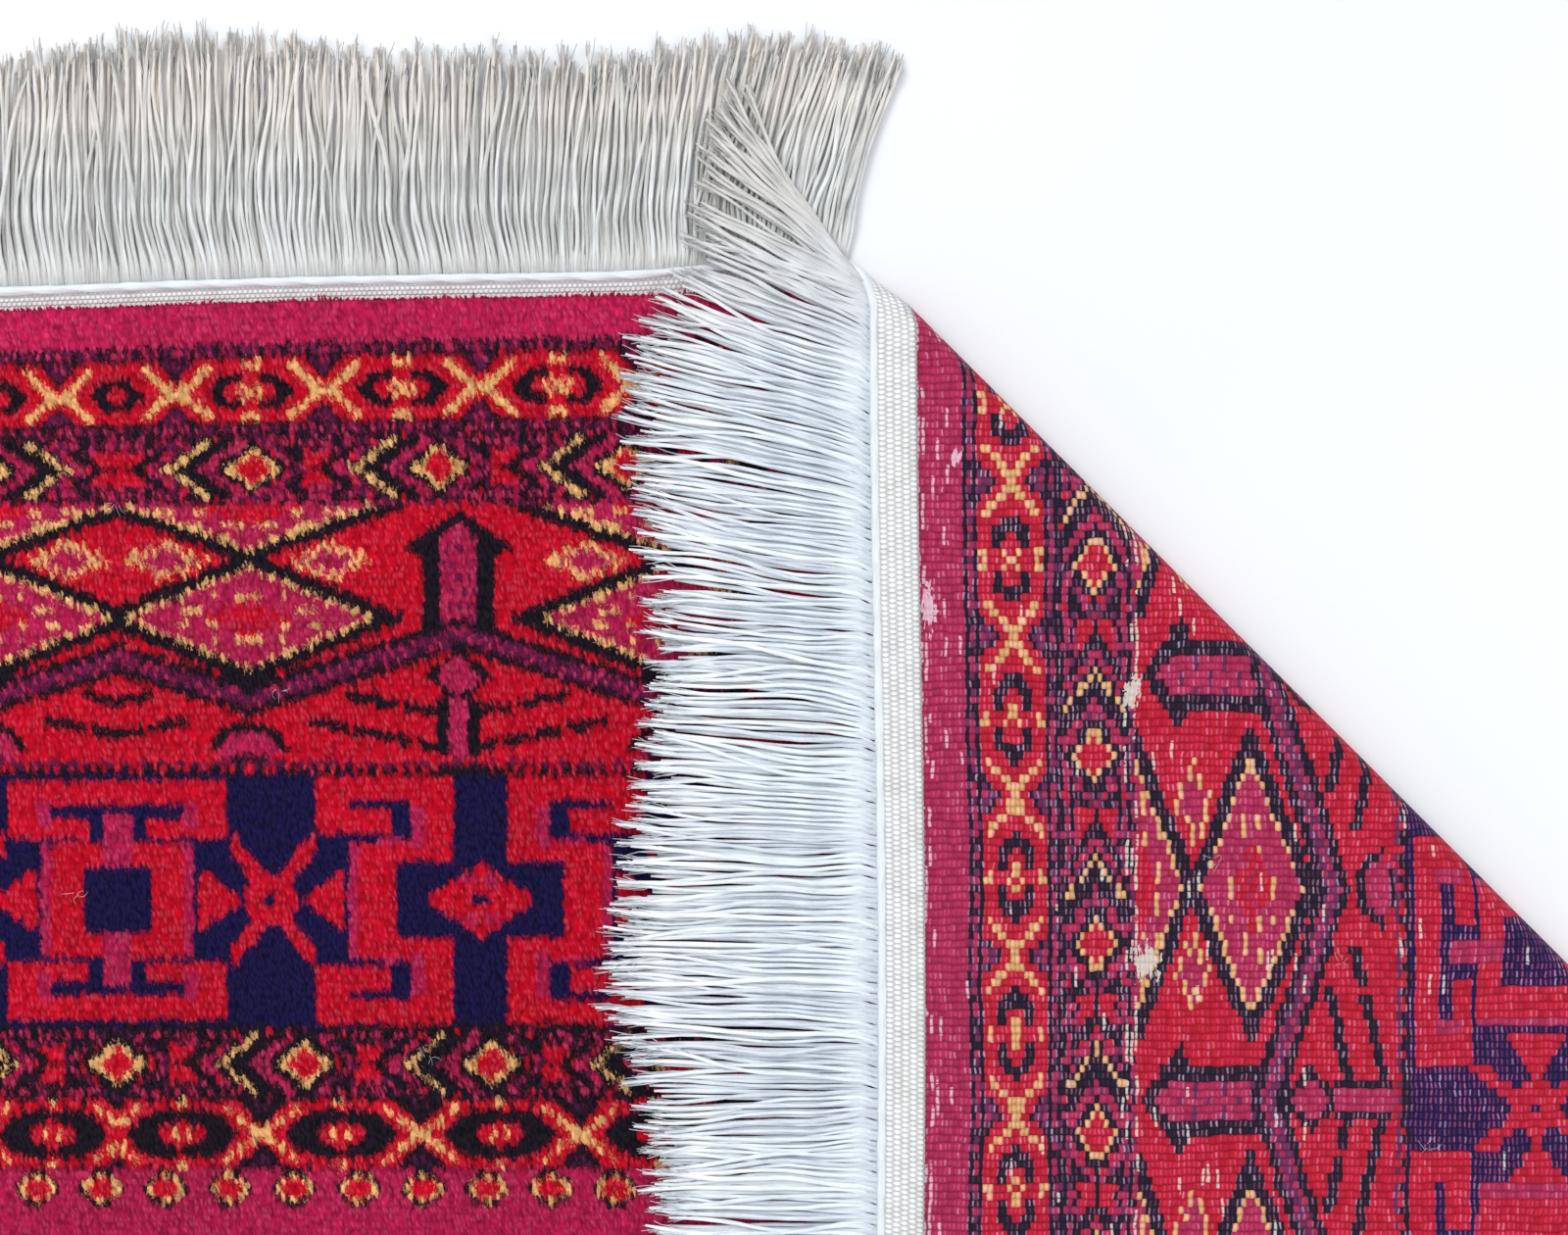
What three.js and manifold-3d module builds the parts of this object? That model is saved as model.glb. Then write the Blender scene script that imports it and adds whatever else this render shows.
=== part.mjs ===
// A knotted pile rug that lies flat with one corner turned over, in millimetres, +Z up.
// Its length runs along Y. The turned corner is the right one of the end at +Y, and its
// foundation is the outside of the fold.
import * as THREE from "three";
import { mergeVertices } from "three/addons/utils/BufferGeometryUtils.js";
import Module from "manifold-3d";

// The pile area and its cloth
const rugWidth = 1300;
const rugLength = 2000;
const rugThickness = 7.2;
const foundationThickness = 2.4;
const pileLean = 6; // how far the pile's tips lie past its roots, towards the turned end
const edgeWave = 1.6; // how far an edge strays from its straight line
const cornerCut = 3; // a corner's point is worn off by this
const rowSpacing = 48;
const bodyColumns = 4;

// The fold: its line leaves the end's edge at foldStart and runs at 45 degrees to the side
const foldStart = 232.7; // from the rug's centre line
const layerGap = 0.6;
const bendSteps = 8;

// The woven strips at both ends
const tapeWidth = 14;
const tapeThickness = 1.8;
const tapeRows = 3;
const seam = 0.4; // between the pile area and a strip
const skewReach = 120; // how far beside the bend the strip's cross lines are skewed

// The fringe
const strandsPerEnd = 148;
const strandLongest = 78;
const strandShortest = 60;
const strandWidth = 5;
const strandHeight = 2;
const strandTip = 0.5; // a tip's width as a share of its root's
const strandRoot = 2.5; // how deep a strand is rooted in its strip
const strandPieces = 2;
const strandStray = 0.024; // the most that one strand leans by itself, in radians
const strandBow = 0.7;
const fanLean = 0.27; // how far the lying strands beside the fold lean towards it, in radians
const fanReach = 95; // how far along the edge that lean fades

// The strands that leave the strip inside its bend and fall over the lying ones.
// turn is the share of the bend, bearing is in degrees from +X, lift is the least height of
// the strand's start, hold is the share of it that stays at that height, and rest is the
// height that its tip comes down to.
const fallenStrands = [
  { turn: 0.24, bearing: 121, lift: 1.8, hold: 0, rest: 2.5, length: 77 },
  { turn: 0.54, bearing: 144, lift: 0, hold: 0.1, rest: 2.5, length: 72 },
  { turn: 0.86, bearing: 160, lift: 7.8, hold: 0.5, rest: 3.2, length: 66 },
];

const halfWidth = rugWidth / 2;
const halfLength = rugLength / 2;
const bendRadius = rugThickness + layerGap / 2;
const bendLength = Math.PI * bendRadius;
const pileTop = rugThickness + layerGap / 2;
// How far the turned strip comes down at its fringe, to lie on the pile under it
const tapeSink = 2 * bendRadius - tapeThickness - pileTop;

const wasm = await Module();
wasm.setup();

const clamp = THREE.MathUtils.clamp;
const lerp = THREE.MathUtils.lerp;
const smooth = THREE.MathUtils.smoothstep;

// A slow wave between -1 and 1 that stands for the cloth's unevenness
function unevenness(place, seed) {
  return (Math.sin(place / 61 + seed) + Math.sin(place / 143 + 2.3 * seed)) / 2;
}

// A repeatable number between -1 and 1 for strand number n
function chance(n, seed) {
  const wild = Math.sin(n * 12.9898 + seed * 78.233) * 43758.5453;
  return 2 * (wild - Math.floor(wild)) - 1;
}

// Distance past the fold line of a place on the flat rug
function pastFold(u, v) {
  return (u - foldStart + v - halfLength) / Math.SQRT2;
}

// Takes a place on the flat rug, at height h over its back, to where it lies.
// sink brings the turned layer down and narrows its bend.
function foldPoint(u, v, h, sink = 0) {
  const across = pastFold(u, v);
  if (across <= 0) return new THREE.Vector3(u, v, h);
  const along = (u - foldStart - v + halfLength) / Math.SQRT2;
  const turn = Math.min(across / bendLength, 1) * Math.PI;
  const radius = bendRadius - sink / 2;
  const out = (radius - h) * Math.sin(turn) - Math.max(across - bendLength, 0);
  return new THREE.Vector3(
    foldStart + (along + out) / Math.SQRT2,
    halfLength + (out - along) / Math.SQRT2,
    radius - (radius - h) * Math.cos(turn),
  );
}

// Distances past the fold line of the rug's cross lines, which lie parallel to it: through
// every corner, close together in the bend and evenly spaced elsewhere
function crossLines() {
  const corners = [
    pastFold(-halfWidth, -halfLength) + cornerCut,
    pastFold(halfWidth, -halfLength),
    pastFold(-halfWidth, halfLength),
    0,
    bendLength,
    pastFold(halfWidth, halfLength) - cornerCut,
  ];
  corners.sort((a, b) => a - b);
  const lines = [corners[0]];
  for (let i = 1; i < corners.length; i++) {
    const length = corners[i] - corners[i - 1];
    const steps = corners[i] === bendLength ? bendSteps : Math.round(length / rowSpacing);
    for (let j = 1; j <= steps; j++) {
      lines.push(lerp(corners[i - 1], corners[i], j / steps));
    }
  }
  return lines;
}

const lines = crossLines();
const nearWave = (line) => edgeWave * unevenness(line * Math.SQRT2, 1);
const farWave = (line) => edgeWave * unevenness(line * Math.SQRT2, 2);
const sideWave = (line) => edgeWave * unevenness(line * Math.SQRT2, 3);

// A unit box whose points are moved by place(x, y, z), each from 0 to 1
function shapedBox(columns, rows, levels, place) {
  const box = new THREE.BoxGeometry(1, 1, 1, columns, rows, levels);
  const points = box.getAttribute("position");
  for (let i = 0; i < points.count; i++) {
    const p = place(points.getX(i) + 0.5, points.getY(i) + 0.5, points.getZ(i) + 0.5);
    points.setXYZ(i, p.x, p.y, p.z);
  }
  return box;
}

function toSolid(geometry) {
  const plain = geometry.clone();
  plain.deleteAttribute("normal");
  plain.deleteAttribute("uv");
  const merged = mergeVertices(plain, 1e-4);
  const mesh = new wasm.Mesh({
    numProp: 3,
    vertProperties: new Float32Array(merged.getAttribute("position").array),
    triVerts: new Uint32Array(merged.getIndex().array),
  });
  return new wasm.Manifold(mesh);
}

function fromSolid(solid) {
  const mesh = solid.getMesh();
  const geometry = new THREE.BufferGeometry();
  geometry.setAttribute("position", new THREE.BufferAttribute(mesh.vertProperties, 3));
  geometry.setIndex(new THREE.BufferAttribute(mesh.triVerts, 1));
  geometry.computeVertexNormals();
  return geometry;
}

// The pile area: its rows are the cross lines, and each ends where it leaves the outline.
// The pile leans, so its tips reach over the near strip and stop short at the far end.
function rugBody() {
  const levels = [
    { height: 0, lean: 0 },
    { height: foundationThickness, lean: 0 },
    { height: rugThickness, lean: pileLean },
  ];

  // How far along its line, seen from the fold's start, line ends at the fringe or left
  function lineStart(line, lean) {
    const left = -Math.SQRT2 * (halfWidth + sideWave(line) + foldStart) - line;
    return Math.max(left, line - Math.SQRT2 * (lean + nearWave(line)));
  }

  function lineEnd(line, lean) {
    const right = Math.SQRT2 * (halfWidth + sideWave(line) - foldStart) - line;
    return Math.min(right, line + Math.SQRT2 * (rugLength - lean + farWave(line)));
  }

  return shapedBox(bodyColumns, lines.length - 1, levels.length - 1, (x, y, z) => {
    const line = lines[Math.round(y * (lines.length - 1))];
    const level = levels[Math.round(z * (levels.length - 1))];
    const along = lerp(lineStart(line, level.lean), lineEnd(line, level.lean), x);
    const u = foldStart + (line + along) / Math.SQRT2;
    const v = halfLength + (line - along) / Math.SQRT2;
    return foldPoint(u, v, level.height);
  });
}

// The strip at the turned end, from the left side to the turned corner
function nearTape() {
  const stops = lines.filter((line) => line >= pastFold(-halfWidth, halfLength) - 1e-6);
  return shapedBox(stops.length - 1, tapeRows, 1, (x, y, z) => {
    const line = stops[Math.round(x * (stops.length - 1))];
    const beside = Math.max(-line, line - bendLength, 0);
    const skew = clamp(1 - beside / skewReach, 0, 1);
    const width = lerp(seam, tapeWidth, y);
    const wave = nearWave(line);
    const u = foldStart + line * Math.SQRT2 - skew * (width + wave);
    const sink = (tapeSink * width) / tapeWidth;
    return foldPoint(u, halfLength + width + wave, z * tapeThickness, sink);
  });
}

function farTape() {
  const stops = lines.filter((line) => line <= pastFold(halfWidth, -halfLength) + 1e-6);
  return shapedBox(stops.length - 1, tapeRows, 1, (x, y, z) => {
    const line = stops[Math.round(x * (stops.length - 1))];
    const width = lerp(tapeWidth, seam, y);
    const u = foldStart + line * Math.SQRT2 + rugLength;
    const v = -halfLength - width - farWave(line);
    return new THREE.Vector3(u, v, z * tapeThickness);
  });
}

// A three-sided lock of yarn with a flat underside, laid from root along bearing.
// under(share) is the height of its underside.
function strand(root, bearing, length, bow, under) {
  const prism = new THREE.CylinderGeometry(1, 1, 1, 3, strandPieces);
  const points = prism.getAttribute("position");
  const forward = new THREE.Vector3(Math.cos(bearing), Math.sin(bearing), 0);
  const aside = new THREE.Vector3(forward.y, -forward.x, 0);
  for (let i = 0; i < points.count; i++) {
    const share = points.getY(i) + 0.5;
    const size = lerp(1, strandTip, share);
    const side = (points.getX(i) / Math.sin(Math.PI / 3)) * size * (strandWidth / 2);
    const height = ((points.getZ(i) + 0.5) / 1.5) * size * strandHeight;
    const place = root
      .clone()
      .addScaledVector(forward, share * length)
      .addScaledVector(aside, side + bow * Math.sin(share * Math.PI));
    points.setXYZ(i, place.x, place.y, under(share) + height);
  }
  return prism;
}

function strandPlace(n) {
  return -halfWidth + (rugWidth / strandsPerEnd) * (n + 0.5);
}

function strandLength(n, seed) {
  const share = 0.5 + 0.35 * unevenness(n * 17, seed) + 0.15 * chance(n, seed);
  return lerp(strandShortest, strandLongest, share);
}

// The lying and turned strands of the near end, and those that fall inside the bend
function nearStrands() {
  const made = [];
  for (let n = 0; n < strandsPerEnd; n++) {
    const u = strandPlace(n);
    const line = pastFold(u, halfLength + tapeWidth);
    if (line > -strandWidth / 2 && line < bendLength + strandWidth / 2) continue;
    const turned = line > 0;
    const edge = (u - foldStart) / Math.SQRT2;
    const v = halfLength + nearWave(edge) + tapeWidth - strandRoot;
    const root = foldPoint(u, v, tapeThickness / 2, tapeSink);
    const besideFold = foldStart - tapeWidth - u;
    const lean = turned ? 0 : fanLean * smooth(fanReach - besideFold, 0, fanReach);
    const bearing = (turned ? Math.PI : Math.PI / 2) - lean + strandStray * chance(n, 4);
    const under = () => (turned ? pileTop : 0);
    made.push(strand(root, bearing, strandLength(n, 5), strandBow * chance(n, 6), under));
  }
  return made;
}

function fallen() {
  return fallenStrands.map(({ turn, bearing, lift, hold, rest, length }) => {
    const line = turn * bendLength;
    const width = tapeWidth - strandRoot;
    const u = foldStart + line * Math.SQRT2 - width;
    const root = foldPoint(u, halfLength + width, tapeThickness / 2, tapeSink);
    const start = Math.max(root.z - strandHeight / 2, lift);
    const under = (share) => lerp(start, rest, smooth(share, hold, 1));
    return strand(root, THREE.MathUtils.degToRad(bearing), length, 0, under);
  });
}

function farStrands() {
  const made = [];
  for (let n = 0; n < strandsPerEnd; n++) {
    const u = strandPlace(n);
    const root = new THREE.Vector3(u, strandRoot - halfLength - tapeWidth, 0);
    const bearing = -Math.PI / 2 + strandStray * chance(n, 7);
    made.push(strand(root, bearing, strandLength(n, 8), strandBow * chance(n, 9), () => 0));
  }
  return made;
}

function joined(geometries) {
  return fromSolid(wasm.Manifold.union(geometries.map(toSolid)));
}

function named(name, geometry, material) {
  const mesh = new THREE.Mesh(geometry, material);
  mesh.name = name;
  return mesh;
}

const pile = new THREE.MeshStandardMaterial({ color: 0x7c1230, roughness: 0.95, metalness: 0 });
const yarn = new THREE.MeshStandardMaterial({ color: 0xcdd0c8, roughness: 0.9, metalness: 0 });

const rug = new THREE.Group();
rug.add(named("rug_body", fromSolid(toSolid(rugBody())), pile));
rug.add(named("near_fringe", joined([nearTape(), ...nearStrands(), ...fallen()]), yarn));
rug.add(named("far_fringe", joined([farTape(), ...farStrands()]), yarn));

// The part stands on its origin
const reach = new THREE.Box3().setFromObject(rug);
const middle = reach.getCenter(new THREE.Vector3());
rug.position.set(-middle.x, -middle.y, -reach.min.z);

export default rug;
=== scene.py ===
import math
from functools import partialmethod

import bmesh
import bpy
import numpy as np
from mathutils import Matrix, Vector


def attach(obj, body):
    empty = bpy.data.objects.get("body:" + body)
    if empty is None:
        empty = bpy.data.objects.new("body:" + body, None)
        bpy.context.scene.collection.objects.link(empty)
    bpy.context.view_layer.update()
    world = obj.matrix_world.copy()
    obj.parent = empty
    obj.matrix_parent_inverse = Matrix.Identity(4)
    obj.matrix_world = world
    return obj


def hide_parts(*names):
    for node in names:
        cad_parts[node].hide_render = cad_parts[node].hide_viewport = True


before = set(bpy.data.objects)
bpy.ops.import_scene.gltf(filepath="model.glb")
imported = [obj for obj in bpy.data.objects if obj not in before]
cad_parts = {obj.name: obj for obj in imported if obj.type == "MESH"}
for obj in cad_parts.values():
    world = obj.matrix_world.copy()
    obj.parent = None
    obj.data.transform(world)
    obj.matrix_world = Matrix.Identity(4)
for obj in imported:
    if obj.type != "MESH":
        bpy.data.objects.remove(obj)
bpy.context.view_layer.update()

root2 = math.sqrt(2)


def tell(words):
    print("rug:", words)


def fromScreen(red, green, blue):
    # a colour given as 0 to 255 on a screen, as the shaders need it
    def linear(value):
        value /= 255
        return value / 12.92 if value < 0.04045 else ((value + 0.055) / 1.055) ** 2.4

    return (linear(red), linear(green), linear(blue), 1.0)


# Where the cloth lies

# Metres. foldStart is where the fold's line leaves the fringed edge, from the middle.
rugShape = {
    "width": 1.3,
    "length": 2.0,
    "pileTop": 0.0072,
    "foundation": 0.0024,
    "layerGap": 0.0006,
    "foldStart": 0.2327,
    "edgeWave": 0.0016,
    "drawnIn": 0.0012,  # how far the fringed end is drawn in
    "hollow": (-0.32, 0.11, 0.006),  # where it is drawn in more: middle, reach, depth
    "pileLean": 0.0012,
    "place": (0.00063, 0.0, 0.0),
    "cell": 0.025,
    "bendLines": 18,
    "selvedge": 0.0056,
    "selvedgeHeight": 0.0046,
    "selvedgeFoot": 0.0008,
    "rimInset": 0.0012,  # how far the pile's rim is rounded in, and how far down
    "rimDepth": 0.0013,
    "rimStep": 0.001,  # from the selvedge to the first cut in the pile
    "endStep": 0.004,
    "clearance": 0.0003,  # over the pile, for what lies on it
}

halfWidth = rugShape["width"] / 2
halfLength = rugShape["length"] / 2
bendRadius = rugShape["pileTop"] + rugShape["layerGap"] / 2
bendLength = math.pi * bendRadius


def pastFold(u, v):
    return (u - rugShape["foldStart"] + v - halfLength) / root2


def foldPlaces(flat, sink=0.0):
    # Rows of (u, v, height) on the unfolded rug go to where they lie. The part past the
    # fold's line goes round the bend and comes back over the rug, back side up.
    u, v, h = flat.T
    start = rugShape["foldStart"]
    across = pastFold(u, v)
    along = (u - start - v + halfLength) / root2
    turn = np.clip(across / bendLength, 0, 1) * math.pi
    radius = bendRadius - sink / 2
    out = (radius - h) * np.sin(turn) - np.maximum(across - bendLength, 0)
    folded = np.stack([
        start + (along + out) / root2,
        halfLength + (out - along) / root2,
        radius - (radius - h) * np.cos(turn),
    ], axis=1)
    return np.where(across[:, None] > 0, folded, flat) + np.array(rugShape["place"])


def smooth(value, low, high):
    share = np.clip((value - low) / (high - low), 0, 1)
    return share * share * (3 - 2 * share)


def hump(value, middle, reach):
    return np.exp(-((value - middle) / reach) ** 2)


def edgeStray(u, v, seed):
    place = pastFold(u, v) * root2
    waves = np.sin(place / 0.061 + seed) + np.sin(place / 0.143 + 2.3 * seed)
    stray = rugShape["edgeWave"] * waves / 2
    if seed == 1:
        # the fringed end is drawn in a little, most of all to the left of the fold
        middle, reach, deep = rugShape["hollow"]
        stray = stray - rugShape["drawnIn"] - 0.001 * smooth(-place, 0, 0.03)
        stray = stray - deep * hump(place, middle, reach)
    return stray


def addObject(name, data, place=(0, 0, 0)):
    thing = bpy.data.objects.new(name, data)
    thing.location = place
    bpy.context.scene.collection.objects.link(thing)
    return thing


def meshObject(name, bm, materials):
    mesh = bpy.data.meshes.new(name)
    bm.to_mesh(mesh)
    bm.free()
    for material in materials:
        mesh.materials.append(material)
    mesh.shade_smooth()
    return addObject(name, mesh)


def cutAcross(bm, point, normal):
    bmesh.ops.bisect_plane(bm, geom=bm.verts[:] + bm.edges[:] + bm.faces[:], dist=1e-6,
                           plane_co=point, plane_no=normal)


def cutBendLines(bm):
    for step in range(rugShape["bendLines"] + 1):
        place = bendLength * step / rugShape["bendLines"] / root2
        cutAcross(bm, (rugShape["foldStart"] + place, halfLength + place, 0), (1, 1, 0))


def raiseFaces(bm, faces, height):
    # pulls the faces up out of the sheet, and returns the ones on top
    grown = bmesh.ops.extrude_face_region(bm, geom=faces)["geom"]
    bmesh.ops.translate(bm, vec=(0, 0, height),
                        verts=[item for item in grown if isinstance(item, bmesh.types.BMVert)])
    return [item for item in grown if isinstance(item, bmesh.types.BMFace)]


def layDown(bm, flat, lain):
    # the corners keep their flat place as a map, and go where they lie
    layer = bm.loops.layers.uv.new("RugFlat")
    for face in bm.faces:
        for loop in face.loops:
            loop[layer].uv = flat[loop.vert.index]
    for vert, place in zip(bm.verts, lain):
        vert.co = place


# Camera, light and floor

viewSetup = {
    "over": (0.2089, 0.8986),  # the point of the rug in the middle of the picture
    "height": 0.6,
    "frameWidth": 0.496,
    "lampPower": 36.0,
    "daylight": 0.8,
    "sky": (0.93, 0.96, 1, 1),
    "lampAim": (0.2, 0.6, 0),
    # place, size and share of the power
    "lamps": {"windowLamp": ((-1.1, 2.2, 1.9), 1.4, 1.0), "fillLamp": ((1.6, -0.4, 2.1), 1.8, 0.45)},
}


def makeCamera():
    data = bpy.data.cameras.new("overheadCamera")
    data.sensor_width = 36
    data.lens = 36 * viewSetup["height"] / viewSetup["frameWidth"]
    data.clip_start = 0.01
    place = (*viewSetup["over"], viewSetup["height"])
    bpy.context.scene.camera = addObject("overheadCamera", data, place)


def makeLight():
    world = bpy.data.worlds.new("studioAir")
    world.use_nodes = True
    sky = world.node_tree.nodes["Background"].inputs
    sky["Color"].default_value = viewSetup["sky"]
    sky["Strength"].default_value = viewSetup["daylight"]
    bpy.context.scene.world = world
    bpy.context.scene.view_settings.view_transform = "Standard"
    for name, (place, size, share) in viewSetup["lamps"].items():
        data = bpy.data.lights.new(name, "AREA")
        data.size = size
        data.energy = viewSetup["lampPower"] * share
        lamp = addObject(name, data, place)
        aim = Vector(viewSetup["lampAim"]) - Vector(place)
        lamp.rotation_euler = aim.to_track_quat("-Z", "Y").to_euler()


def makeFloor(material):
    bm = bmesh.new()
    bmesh.ops.create_grid(bm, x_segments=4, y_segments=4, size=4)
    floor = meshObject("paleFloor", bm, [material])


# Node helpers


class Bench:
    # a node tree with short calls for the nodes that the materials use
    def __init__(self, tree):
        self.tree = tree

    def node(self, kind, inputs=None, **settings):
        made = self.tree.nodes.new(kind)
        for name, value in settings.items():
            setattr(made, name, value)
        for name, value in (inputs or {}).items():
            self.feed(made.inputs[name], value)
        return made

    def feed(self, socket, value):
        if isinstance(value, bpy.types.NodeSocket):
            self.tree.links.new(value, socket)
        else:
            socket.default_value = value

    def fed(self, made, values):
        for socket, value in zip(made.inputs, values):
            self.feed(socket, value)
        return made.outputs[0]

    def math(self, operation, *values):
        return self.fed(self.node("ShaderNodeMath", operation=operation), values)

    times = partialmethod(math, "MULTIPLY")
    plus = partialmethod(math, "ADD")
    minus = partialmethod(math, "SUBTRACT")
    over = partialmethod(math, "DIVIDE")
    above = partialmethod(math, "GREATER_THAN")
    below = partialmethod(math, "LESS_THAN")
    size = partialmethod(math, "ABSOLUTE")
    floor = partialmethod(math, "FLOOR")
    fold = partialmethod(math, "PINGPONG")

    def wave(self, value, speed):
        return self.math("SINE", self.times(value, speed))

    def offMiddle(self, value):
        # how far a place is from the middle of its cell, in cells
        return self.size(self.minus(self.math("FRACT", value), 0.5))

    def reach(self, x, y):
        return self.math("SQRT", self.plus(self.times(x, x), self.times(y, y)))

    def vector(self, operation, *values, **inputs):
        return self.fed(self.node("ShaderNodeVectorMath", inputs, operation=operation), values)

    def centred(self, colour):
        return self.vector("SUBTRACT", colour, (0.5, 0.5, 0.5))

    def shift(self, place, colour, much):
        # moves a place by as much either way as a random colour says
        return self.vector("ADD", place, self.vector("SCALE", self.centred(colour), Scale=much))

    def split(self, vector):
        made = self.node("ShaderNodeSeparateXYZ", {0: vector})
        return made.outputs[0], made.outputs[1]

    def join(self, x, y, z=0.0):
        return self.node("ShaderNodeCombineXYZ", {0: x, 1: y, 2: z}).outputs[0]

    def choose(self, factor, low, high):
        made = self.node("ShaderNodeMix", data_type="FLOAT")
        self.feed(made.inputs[0], factor)
        self.feed(made.inputs[2], low)
        self.feed(made.inputs[3], high)
        return made.outputs[0]

    def blend(self, factor, low, high, way="MIX"):
        made = self.node("ShaderNodeMix", data_type="RGBA", blend_type=way)
        self.feed(made.inputs[0], factor)
        self.feed(made.inputs[6], low)
        self.feed(made.inputs[7], high)
        return made.outputs[2]

    def noise(self, vector, scale, detail=2.0, roughness=0.5):
        return self.node("ShaderNodeTexNoise", {
            "Vector": vector, "Scale": scale, "Detail": detail, "Roughness": roughness,
        }, noise_dimensions="2D")

    def grain(self, vector, scale, detail=2.0, roughness=0.5):
        return self.noise(vector, scale, detail, roughness).outputs["Fac"]

    def luck(self, cell):
        # one random number for each whole place
        made = self.node("ShaderNodeTexWhiteNoise", {"Vector": cell}, noise_dimensions="2D")
        return made.outputs["Value"]

    def luckOf(self, number):
        made = self.node("ShaderNodeTexWhiteNoise", {"W": number}, noise_dimensions="1D")
        return made.outputs["Value"]

    def flat(self, name):
        return self.node("ShaderNodeUVMap", uv_map=name).outputs[0]

    def group(self, tree, *values):
        return self.fed(self.node("ShaderNodeGroup", node_tree=tree), values)

    def dim(self, colour, shade):
        return self.blend(1.0, colour, self.join(shade, shade, shade), "MULTIPLY")

    def range(self, value, low, high, toLow=0.0, toHigh=1.0):
        return self.node("ShaderNodeMapRange", {
            0: value, 1: low, 2: high, 3: toLow, 4: toHigh,
        }).outputs[0]

    def ramp(self, value, stops, way="LINEAR"):
        made = self.node("ShaderNodeValToRGB", {0: value})
        made.color_ramp.interpolation = way
        elements = made.color_ramp.elements
        while len(elements) > 1:
            elements.remove(elements[0])
        elements[0].position = stops[0][0]
        elements[0].color = stops[0][1]
        for place, colour in stops[1:]:
            elements.new(place).color = colour
        return made


def mottled(bench, tone, look):
    stops = [(0.3, fromScreen(*look["dark"])), (0.7, fromScreen(*look["light"]))]
    return bench.ramp(tone, stops).outputs["Color"]


def newMaterial(name):
    material = bpy.data.materials.new(name)
    material.use_nodes = True
    return material, Bench(material.node_tree)


def coat(bench, colour, look, height=None):
    # gives the shader its colour, the look's own settings and the bumps
    shader = bench.tree.nodes["Principled BSDF"]
    bench.feed(shader.inputs["Base Color"], colour)
    for name, value in look["surface"].items():
        shader.inputs[name].default_value = value
    if height is not None:
        strength, depth = look["bump"]
        bump = bench.node("ShaderNodeBump", {"Strength": strength, "Distance": depth, "Height": height})
        bench.feed(shader.inputs["Normal"], bump.outputs[0])


# The design, charted knot by knot

# Yarn letters: r scarlet, m wine, k black, n navy, p plum, g gold
yarns = "rmkpgn"
frontYarns = {
    "r": (186, 3, 30), "m": (166, 22, 68), "k": (15, 14, 24),
    "p": (80, 18, 58), "g": (224, 170, 106), "n": (12, 13, 58),
}
backYarns = {
    "r": (190, 20, 44), "m": (170, 38, 80), "k": (28, 26, 44),
    "p": (106, 42, 84), "g": (222, 170, 110), "n": (24, 22, 74),
}
knot = 0.00149

# From the edge: where each band starts. The lozenge panel is only at the ends.
bands = {
    "oval": 0.0131,
    "chevron": 0.0429,
    "panel": 0.067,
    "navy": 0.067,
    "innerChevron": 0.147,
    "innerOval": 0.169,
    "diamonds": 0.191,
    "field": 0.203,
    "panelDepth": 0.084,
}

# Charts run from a motif's middle outwards. This one has its rows from the band's centre
# line to its edge.
ovalChart = [
    "gggrrrrkkkkrrrgrg",
    "rgggrrrrkkkkrrrgr",
    "rrrggrrrrkkkkkkrr",
    "krrrggrrrrkkkkkrr",
    "pkrrrggrrrrrrrrrr",
    "ppkrrrggrrrrrrrgg",
    "mppkrrrrrrrrrrrgr",
    "kkkkkkpkkkkkkpkkk",
    "mpmkmpmmpkmpmmkmp",
    "kkpkkkkpkkkkkkkpk",
]

innerOvalChart = [
    "ggrrrkkkkkkkrrrgr",
    "rggrrrkkkkkkkrrrr",
    "krrggrrkkkkkkkkkr",
    "kkrrgrrrkkkkkkkkk",
    "kkkrrrgrrrkkkkkkk",
    "pkkkrrrgrrrrrrkrr",
    "kpkkkrrrrrkrrrrrg",
    "kkkkkkpkkkkkkpkkk",
]


def blankChart(columns, rows, yarn):
    return [[yarn] * columns for _ in range(rows)]


def dye(chart, yarn, covers):
    for row, line in enumerate(chart):
        for column in range(len(line)):
            if covers(column, row):
                line[column] = yarn


def dyeLozenge(chart, yarn, x, y, halfLong, halfTall):
    dye(chart, yarn, lambda c, r: abs(c - x) / halfLong + abs(r - y) / halfTall <= 1)


def dyeBlock(chart, yarn, left, top, right, bottom):
    dye(chart, yarn, lambda c, r: left <= c <= right and top <= r <= bottom)


def dyeSlope(chart, yarn, x0, y0, x1, y1, tall):
    low, high = min(x0, x1), max(x0, x1)
    slope = (y1 - y0) / (x1 - x0)
    dye(chart, yarn, lambda c, r: low <= c <= high
        and abs(r - y0 - slope * (c - x0)) <= tall / 2)


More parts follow.
